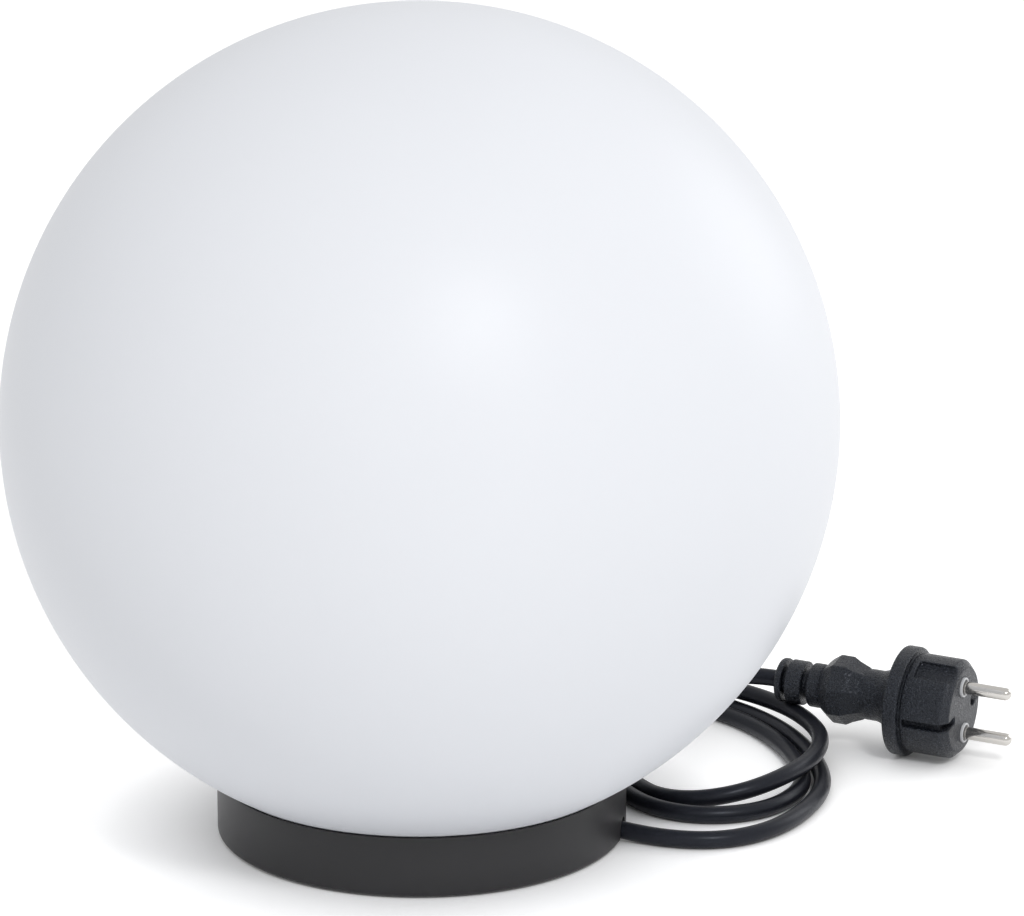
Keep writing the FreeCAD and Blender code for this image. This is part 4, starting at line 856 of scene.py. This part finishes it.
class HolderOperator(bpy.types.Operator):
    """The lamp holder: its cap, its ring with grip ridges, and the threaded screw shell"""
    bl_idname = "globe_light.holder"
    bl_label = "Lamp Holder"

    def execute(self, context):
        sizes = context.scene.globe_holder
        self.cap(sizes)
        self.ring(sizes)
        self.shell(sizes)
        return {"FINISHED"}

    def cap(self, sizes):
        seat = sizes.seat
        outer = sizes.diameter / 2
        outline = mm([(5.1, 0.0), (12.0, 0.0, 1.0)], seat)
        outline += [(outer, seat + 6.0 * MM, 2.5 * MM), (outer, seat + 17.8 * MM, 0.3 * MM)]
        outline += mm([(17.7, 17.8, 0.2), (17.7, 8.8), (16.0, 8.8), (16.0, 6.9, 1.0), (11.5, 1.8, 1.0),
                       (5.1, 1.8)], seat)
        dressed(turned("holder_cap_moulding", outline, 160), "black_bakelite", "base", "holder_cap")

    def ring(self, sizes):
        low = sizes.seat + 10.8 * MM
        high = low + 34.0 * MM
        wide = sizes.diameter / 2 + 1.5 * MM
        outline = [(19.6 * MM, low, 0.2 * MM), (wide, low, 0.4 * MM), (wide, low + 8.8 * MM, 0.8 * MM)]
        outline += mm([(18.7, 11.8, 2.0)], low)
        outline += mm([(17.6, -1.0, 0.6), (16.6, 0.0, 0.3), (14.3, 0.0, 0.3)], high)
        outline += mm([(14.3, 7.3), (19.6, 7.3)], low)
        body = lathe("ring_body", outline, 160)
        ridge = block("ridge", (-0.5 * MM, -0.7 * MM, low + 1.0 * MM), (0.3 * MM, 0.7 * MM, low + 7.8 * MM))
        ridges = ring_of(ridge, sizes.grips, wide, "black_bakelite")
        piece = smooth(joined("holder_ring_moulding", [body, ridges]), 35.0)
        dressed(piece, "black_bakelite", "base", "holder_skirt")

    def shell(self, sizes):
        low = sizes.seat + 16.8 * MM
        high = low + 26.0 * MM
        tube = tube_of_rings("holder_screw_shell", 13.6 * MM, 14.1 * MM, low, high)
        piece = threaded(tube, pitch=3.6 * MM, depth=0.3 * MM, start=low + 3.0 * MM, end=high - 1.0 * MM,
                         slot="brass_metal")
        dressed(smooth(piece, 60.0), "brass_metal", "base", "screw_shell")


def tube_of_rings(name, inner, outer, low, high):
    """A straight tube with enough rings to take a thread."""
    steps = 110
    heights = [low + (high - low) * step / steps for step in range(steps + 1)]
    outline = [(outer, height) for height in heights] + [(inner, height) for height in reversed(heights)]
    return mesh_object(name, turned_shape(outline, 96))


# ---------------------------------------------------------------- the bulb

BOARD = 62.3 * MM  # from the bulb's tip to the top of its board
BOARD_THICKNESS = 1.6 * MM
DOME_WALL = 1.3 * MM


class BulbOperator(bpy.types.Operator):
    """The LED bulb: threaded cap, housing, dome and its board"""
    bl_idname = "globe_light.bulb"
    bl_label = "Bulb"

    def execute(self, context):
        sizes = context.scene.globe_bulb
        top = sizes.tip + BOARD
        crown = sizes.tip + sizes.bulb_length - sizes.diameter / 2
        self.cap(sizes)
        self.housing(sizes, top, crown)
        self.dome(sizes, top, crown)
        self.board(sizes, top)
        return {"FINISHED"}

    def cap(self, sizes):
        low = sizes.tip + 4.5 * MM
        high = low + 6 * sizes.pitch
        outer = sizes.cap / 2
        tube = tube_of_rings("bulb_cap_thread", outer - 0.5 * MM, outer, low, high)
        piece = threaded(tube, sizes.pitch, 1.0 * MM, low, high, "nickel_metal")
        dressed(smooth(piece, 60.0), "nickel_metal", "bulb", "bulb_screw_cap")

    def housing(self, sizes, top, crown):
        low = sizes.tip + 26.1 * MM
        wide = math.sqrt((sizes.diameter / 2) ** 2 - (crown - top) ** 2)
        outline = mm([(11.8, 0.0), (13.5, 0.0, 0.3), (14.7, 6.0, 8.0)], low)
        outline += [
            (wide - 3.0 * MM, top - 12.0 * MM, 8.0 * MM),
            (wide, top - 2.0 * MM, 1.0 * MM),
            (wide, top, 0.15 * MM),
            (wide - DOME_WALL, top),
            (wide - DOME_WALL, top - BOARD_THICKNESS),
            (wide - 3.3 * MM, top - BOARD_THICKNESS),
            (wide - 5.8 * MM, top - 12.0 * MM, 4.0 * MM),
            (13.4 * MM, low + 6.0 * MM),
        ]
        dressed(turned("bulb_housing_moulding", outline, 160, 8), "white_plastic", "bulb", "bulb_housing")

    def dome(self, sizes, top, crown):
        radius = sizes.diameter / 2
        inner = radius - DOME_WALL
        low = math.degrees(math.asin((top - crown) / radius))
        low_in = math.degrees(math.asin((top - crown) / inner))
        outline = dome_outline(crown, radius, inner, low, low_in, 60, 50)
        dressed(turned("bulb_dome", outline, 128), "bulb_opal", "bulb", "bulb_diffuser")

    def board(self, sizes, top):
        disc = rod("disc", 24.58 * MM, top - BOARD_THICKNESS, top, 96)
        half = 1.75 * MM
        emitter = block("emitter", (-half, -half, top - 0.1 * MM), (half, half, top + 0.8 * MM))
        emitters = ring_of(emitter, sizes.emitters, 17.0 * MM, "white_ceramic")
        piece = smooth(joined("bulb_light_board", [disc, emitters]), 30.0)
        dressed(piece, "white_ceramic", "bulb", "bulb_led_board")


# ---------------------------------------------------------------- fittings

class FittingsOperator(bpy.types.Operator):
    """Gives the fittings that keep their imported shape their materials"""
    bl_idname = "globe_light.fittings"
    bl_label = "Fittings"

    def execute(self, context):
        for name, slot in FITTINGS.items():
            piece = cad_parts[name]
            if not piece.material_slots:
                piece.data.materials.append(material(slot))
            for place in piece.material_slots:
                place.material = material(slot)
        return {"FINISHED"}


# ---------------------------------------------------------------- the mains lead

CORD_EXIT = ((57.33, -12.19, 6.86), (72.44, -15.40, 3.57))
LEAD_POINTS = (
    (90.8, -24.4, 3.3),
    (109.6, -25.4, 3.3),
    (126.7, -15.4, 3.3),
    (140.1, 4.0, 3.3),
)
# One loop, seen from above against the clock, drawn once and repeated a step further in.
LOOP_POINTS = (
    (82.5, 11.1),
    (97.5, 1.2),
    (115.4, 1.0),
    (131.6, 11.0),
    (142.3, 32.2),
    (141.0, 59.0),
    (134.5, 84.0),
    (123.0, 106.0),
    (105.5, 124.5),
    (84.0, 138.0),
    (60.0, 147.0),
    (37.0, 151.7),
    (14.2, 151.4),
    (-4.6, 141.3),
    (-13.8, 122.0),
    (-10.4, 102.1),
    (4.1, 87.6),
    (23.9, 84.2),
    (43.0, 76.5),
    (59.5, 64.5),
    (73.9, 49.1),
    (79.8, 32.8),
)
LOOP_START = 4  # the first loop begins at this point, where the lead reaches it
LOOP_END = 19  # the last loop gives way to the tail before this point
LOOP_TURNS = 2
TAIL_POINTS = (
    (59.5, 64.5, 3.3),
    (73.9, 49.1, 3.3),
    (79.8, 32.8, 3.3),
    (87.7, 19.5, 3.6),
    (101.2, 11.4, 5.4),
    (117.6, 11.0, 8.3),
    (133.1, 19.8, 11.0),
    (145.7, 39.3, 11.2),
    (151.0, 64.0, 10.6),
    (147.0, 86.0, 10.2),
    (137.5, 105.0, 10.2),
    (121.0, 122.5, 10.2),
    (98.0, 137.5, 10.4),
    (72.0, 147.0, 10.6),
    (45.5, 150.2, 10.6),
    (24.5, 144.5, 8.6),
    (12.2, 126.3, 5.2),
    (14.9, 104.5, 3.5),
    (31.2, 89.8, 3.3),
    (53.2, 89.4, 3.4),
    (75.5, 97.5, 6.6),
    (97.5, 106.0, 16.2),
)
CORD_END = ((120.99, 107.34, 22.37), (137.16, 99.45, 22.00))


def loop_points(sizes):
    """The loops' points: each turn lies a step inside the one before it."""
    count = len(LOOP_POINTS)
    points = []
    for turn in range(LOOP_TURNS):
        outwards = sizes.step * (LOOP_TURNS - 1 - turn)
        first = LOOP_START if turn == 0 else 0
        last = LOOP_END if turn == LOOP_TURNS - 1 else count
        for index in range(first, last):
            here = Vector(LOOP_POINTS[index]) * MM
            along = (Vector(LOOP_POINTS[(index + 1) % count]) - Vector(LOOP_POINTS[index - 1])).normalized()
            points.append((here.x + along.y * outwards, here.y - along.x * outwards, sizes.rest))
    return points


class CordOperator(bpy.types.Operator):
    """The black rubber lead, one smooth curve from the bend relief to the plug"""
    bl_idname = "globe_light.cord"
    bl_label = "Lead"

    def execute(self, context):
        sizes = context.scene.globe_cord
        route = [Vector(point) * MM for point in CORD_EXIT + LEAD_POINTS]
        route += loop_points(sizes)
        route += [Vector(point) * MM for point in TAIL_POINTS + CORD_END]
        line = bpy.data.curves.new("mains_lead", "CURVE")
        line.dimensions = "3D"
        spline = line.splines.new("NURBS")
        spline.points.add(len(route) - 1)
        for point, place in zip(spline.points, route):
            point.co = (*place, 1.0)
        spline.order_u = 3
        spline.use_endpoint_u = True
        spline.resolution_u = 14
        line.bevel_depth = sizes.diameter / 2
        line.bevel_resolution = 8
        line.use_fill_caps = True
        piece = bpy.data.objects.new("mains_lead", line)
        context.scene.collection.objects.link(piece)
        dressed(piece, "cord_rubber", "base", "cord_lead", "cord_coil", "cord_tail")
        return {"FINISHED"}


# ---------------------------------------------------------------- the plug

PLUG_MIDDLE = (183.8, 76.7, 20.91)
PLUG_TURNS = (7.6, 1.2, -26.0)  # about the pins, downwards, and seen from above, in degrees
# Grooves of the sleeve: distance from its end, and width.
SLEEVE_GROOVES = ((18.2, 0.8), (12.1, 2.5), (3.6, 1.7))
# The faceted grip: distance from the sleeve's root, and share of the grip's radius.
GRIP_STATIONS = ((-0.2, 0.69), (1.5, 0.83), (4.6, 1.0), (9.8, 1.0), (12.4, 0.89), (16.5, 0.77))
GRIP_SIDES = 8


def plug_place():
    """+X runs along the pins, the origin is the middle of the flange."""
    turns = Euler([math.radians(angle) for angle in PLUG_TURNS], "XYZ")
    return Matrix.Translation(Vector(PLUG_MIDDLE) * MM) @ turns.to_matrix().to_4x4()


class PlugOperator(bpy.types.Operator):
    """The moulded rubber plug with its two pins and their insulating rings"""
    bl_idname = "globe_light.plug"
    bl_label = "Plug"

    def execute(self, context):
        sizes = context.scene.globe_plug
        face = sizes.flange_thickness / 2 + sizes.front_length
        body = placed(self.moulding(sizes, face), plug_place())
        dressed(body, "plug_rubber", "base", "plug_body")
        self.pins(sizes, face)
        self.rings(sizes, face)
        return {"FINISHED"}

    def moulding(self, sizes, face):
        half = sizes.flange_thickness / 2
        front = sizes.front / 2
        rim = sizes.flange / 2
        waist = sizes.waist / 2
        sleeve = sizes.sleeve / 2
        core = 5.2 * MM
        end = -sizes.tail
        middle = end + sizes.sleeve_length
        outline = [
            (0.0, face),
            (front - sizes.chamfer, face, 0.5 * MM),
            (front, face - sizes.chamfer, 0.8 * MM),
            (front, half + 0.9 * MM),
            (front - 0.6 * MM, half + 0.9 * MM),
            (front - 0.6 * MM, half),
            (rim, half, 0.8 * MM),
            (rim, -half, 0.9 * MM),
            (front * 0.84, -half, 1.5 * MM),
            (front * 0.62, -half - 2.2 * MM, 3.0 * MM),
            (waist, -half - 7.5 * MM, 6.0 * MM),
            (waist, -half - 12.0 * MM, 6.0 * MM),
            (waist * 0.86, middle + 3.0 * MM),
            (waist * 0.8, middle),
            (sleeve, middle, 0.4 * MM),
        ]
        for distance, width in SLEEVE_GROOVES:
            above = end + (distance + width / 2) * MM
            below = end + (distance - width / 2) * MM
            outline += [(sleeve, above, 0.3 * MM), (core, above), (core, below), (sleeve, below, 0.3 * MM)]
        outline += [(sleeve, end, 2.4 * MM), (0.0, end)]
        body = lying(lathe("plug_moulding", outline, 128, 6))
        body = self.united(body, self.collar(sizes, middle))
        cut_away(body, self.openings(sizes, half, face, front))
        grain = body.modifiers.new("grain", "REMESH")
        grain.mode = "VOXEL"
        grain.voxel_size = sizes.grain
        grain.use_smooth_shade = True
        soft = body.modifiers.new("soft", "SMOOTH")
        soft.factor = 0.5
        soft.iterations = 2
        return finished(body)

    def united(self, body, other):
        change = body.modifiers.new("grip", "BOOLEAN")
        change.operation = "UNION"
        change.solver = "EXACT"
        change.object = other
        finished(body)
        bpy.data.objects.remove(other)
        return body

    def collar(self, sizes, start):
        """The grip: flats that swell quickly and taper to the waist."""
        shape = bmesh.new()
        rings = []
        for distance, share in GRIP_STATIONS:
            x = start + distance * MM
            radius = sizes.collar / 2 * share
            ring = []
            for corner in range(GRIP_SIDES):
                angle = TURN * (corner + 0.5) / GRIP_SIDES
                ring.append(shape.verts.new((x, radius * math.cos(angle), radius * math.sin(angle))))
            rings.append(ring)
        for ring, following in zip(rings, rings[1:]):
            for corner in range(GRIP_SIDES):
                beyond = (corner + 1) % GRIP_SIDES
                shape.faces.new((ring[corner], ring[beyond], following[beyond], following[corner]))
        shape.faces.new(rings[0])
        shape.faces.new(rings[-1])
        bmesh.ops.recalc_face_normals(shape, faces=shape.faces)
        return mesh_object("plug_grip", shape)

    def openings(self, sizes, half, face, front):
        """Guide grooves, side slots with their inlets, and the holes in the face."""
        spacing = sizes.pin_spacing / 2
        ahead = face + 1 * MM
        aside = front + 3 * MM
        slot = sizes.slot_width / 2
        guide = sizes.guide_width / 2
        shapes = (
            ("guide", (half + 3.4 * MM, -guide, front - sizes.guide_depth), (ahead, guide, aside), 20.0),
            ("slot", (half + 1.6 * MM, front - sizes.slot_depth, -slot), (ahead, aside, slot), 0.0),
            ("inlet", (face - 4.0 * MM, spacing, -slot), (ahead, front, slot), 0.0),
        )
        tools = []
        for side in (-1, 1):
            for name, low, high, angle in shapes:
                turn = math.radians(angle + (0.0 if side > 0 else 180.0))
                tools.append(placed(block(name, low, high), Matrix.Rotation(turn, 4, "X")))
            hole = rod("pin_hole", 3.85 * MM, face - sizes.ring_depth, ahead)
            tools.append(lying(hole, z=side * spacing))
        tools.append(lying(rod("earth_hole", 2.5 * MM, face - 13.5 * MM, ahead, 32), y=9.9 * MM))
        return tools

    def pins(self, sizes, face):
        radius = sizes.pin / 2
        tip = face + sizes.pin_reach
        deep, proud = face - sizes.ring_depth, face + sizes.ring_proud
        root = 2.0 * MM
        outline = [(0.0, deep), (root, deep), (root, proud), (radius, proud, 0.15 * MM)]
        outline += arc((0.0, tip - radius), radius, 0.0, 90.0, 12)
        outline[-1] = (0.0, tip)
        self.pair("plug_pin_pair", outline, sizes.pin_spacing, "pin_metal", "plug_pins")

    def rings(self, sizes, face):
        deep, proud = face - sizes.ring_depth, face + sizes.ring_proud
        bore, outer = 2.05 * MM, 3.8 * MM
        low = face - 0.6 * MM
        outline = [
            (bore, deep),
            (outer, deep),
            (outer, proud, 0.3 * MM),
            (3.0 * MM, proud, 0.3 * MM),
            (2.9 * MM, low),
            (bore, low),
        ]
        self.pair("plug_ring_pair", outline, sizes.pin_spacing, "ring_plastic", "plug_rings")

    def pair(self, name, outline, spacing, slot, node):
        """Two like pieces, one at each pin's place."""
        both = [lying(lathe("one_of_pair", outline, 48, 4), z=side * spacing / 2) for side in (-1, 1)]
        dressed(smooth(placed(joined(name, both), plug_place())), slot, "base", node)


# ---------------------------------------------------------------- the stage

FLOOR_REACH = 9.0
SHADE_REACH = 0.045  # the floor's own light is held back this close to the pieces
SOFTBOX = ((0.6, -1.7, 1.7), (0.05, 0.0, 0.12), 0.4)  # place, target and width
SIDE_SOFTBOX = ((1.8, 1.15, 0.8), (0.05, 0.0, 0.05), 1.1)
SIDE_SHARE = 0.45  # of the softbox's power
CAMERA_LENS = 196.699
CAMERA_PLACE = (0.0, -1.920587, 0.711982)
CAMERA_TURNS = (90.0 - 16.579, 0.0, -0.97991)  # degrees


def seen_by_eye(tree):
    """1 for the rays of the camera, also those that a piece mirrors or lets through."""
    rays = tree.nodes.new("ShaderNodeLightPath").outputs
    seen = add_math(tree, "MAXIMUM", rays["Is Camera Ray"], rays["Is Glossy Ray"])
    return add_math(tree, "MAXIMUM", seen, rays["Is Transmission Ray"])


def end_mixed(tree, end, share, first, second):
    """Ends a tree of the stage with a mix of two shaders."""
    mix = add_node(tree, "ShaderNodeMixShader", Fac=share)
    tree.links.new(first.outputs[0], mix.inputs[1])
    tree.links.new(second.outputs[0], mix.inputs[2])
    add_node(tree, end, Surface=mix.outputs[0])


class StageOperator(bpy.types.Operator):
    """Pale floor, soft studio light and the camera"""
    bl_idname = "globe_light.stage"
    bl_label = "Stage"

    def execute(self, context):
        settings = context.scene.globe_stage
        self.floor(settings)
        self.world(settings)
        self.lamp("softbox", *SOFTBOX, settings.softbox)
        self.lamp("side_softbox", *SIDE_SOFTBOX, settings.softbox * SIDE_SHARE)
        self.camera(context)
        view = context.scene.view_settings
        view.view_transform = "Standard"
        return {"FINISHED"}

    def floor(self, settings):
        shape = bmesh.new()
        bmesh.ops.create_grid(shape, x_segments=1, y_segments=1, size=FLOOR_REACH)
        piece = mesh_object("studio_floor", shape)
        look = bpy.data.materials.new("studio_floor")
        look.use_nodes = True
        tree = look.node_tree
        tree.nodes.clear()
        paint = add_node(tree, "ShaderNodeBsdfDiffuse", Color=(*settings.floor, 1.0))
        close = add_node(tree, "ShaderNodeAmbientOcclusion", Distance=SHADE_REACH)
        lift = add_math(tree, "MULTIPLY", close.outputs["AO"], settings.lift)
        lift = add_math(tree, "MULTIPLY", seen_by_eye(tree), lift)
        glow = add_node(tree, "ShaderNodeEmission", Strength=lift)
        both = tree.nodes.new("ShaderNodeAddShader")
        tree.links.new(paint.outputs[0], both.inputs[0])
        tree.links.new(glow.outputs[0], both.inputs[1])
        clear = tree.nodes.new("ShaderNodeBsdfTransparent")
        back = tree.nodes.new("ShaderNodeNewGeometry").outputs["Backfacing"]
        end_mixed(tree, "ShaderNodeOutputMaterial", back, both, clear)
        piece.data.materials.append(look)

    def world(self, settings):
        world = bpy.data.worlds.new("studio")
        bpy.context.scene.world = world
        world.use_nodes = True
        tree = world.node_tree
        tree.nodes.clear()
        sky = add_node(tree, "ShaderNodeBackground", Strength=settings.sky)
        backdrop = tree.nodes.new("ShaderNodeBackground")
        end_mixed(tree, "ShaderNodeOutputWorld", seen_by_eye(tree), sky, backdrop)

    def lamp(self, name, place, target, width, power):
        light = bpy.data.lights.new(name, "AREA")
        light.shape = "SQUARE"
        light.size = width
        light.energy = power
        piece = bpy.data.objects.new(name, light)
        bpy.context.scene.collection.objects.link(piece)
        piece.location = place
        piece.rotation_euler = (Vector(place) - Vector(target)).to_track_quat("Z", "Y").to_euler()

    def camera(self, context):
        lens = bpy.data.cameras.new("photo_camera")
        lens.lens = CAMERA_LENS
        lens.sensor_width = 36.0
        piece = bpy.data.objects.new("photo_camera", lens)
        context.scene.collection.objects.link(piece)
        piece.location = CAMERA_PLACE
        piece.rotation_euler = [math.radians(angle) for angle in CAMERA_TURNS]
        context.scene.camera = piece


# ---------------------------------------------------------------- panel and registration

OPERATORS = (
    StageOperator,
    PlugOperator,
    CordOperator,
    BallOperator,
    BaseOperator,
    UndersideOperator,
    HolderOperator,
    BulbOperator,
    FittingsOperator,
)
SETTINGS = {
    "globe_ball": BallSizes,
    "globe_base": BaseSizes,
    "globe_holder": HolderSizes,
    "globe_bulb": BulbSizes,
    "globe_cord": CordSizes,
    "globe_plug": PlugSizes,
    "globe_stage": StageSettings,
}


class GlobeLightPanel(bpy.types.Panel):
    """Makes the globe light's pieces one by one"""
    bl_idname = "VIEW3D_PT_globe_light"
    bl_label = "Globe Light"
    bl_space_type = "VIEW_3D"
    bl_region_type = "UI"
    bl_category = "Globe Light"

    def draw(self, context):
        for operator in OPERATORS:
            self.layout.operator(operator.bl_idname)


def register():
    for name, group in SETTINGS.items():
        bpy.utils.register_class(group)
        setattr(bpy.types.Scene, name, PointerProperty(type=group))
    for operator in OPERATORS:
        bpy.utils.register_class(operator)
    bpy.utils.register_class(GlobeLightPanel)


def unregister():
    bpy.utils.unregister_class(GlobeLightPanel)
    for operator in reversed(OPERATORS):
        bpy.utils.unregister_class(operator)
    for name, group in SETTINGS.items():
        delattr(bpy.types.Scene, name)
        bpy.utils.unregister_class(group)


def main():
    register()
    for operator in OPERATORS:
        group, action = operator.bl_idname.split(".")
        getattr(getattr(bpy.ops, group), action)()


if __name__ == "__main__":
    main()
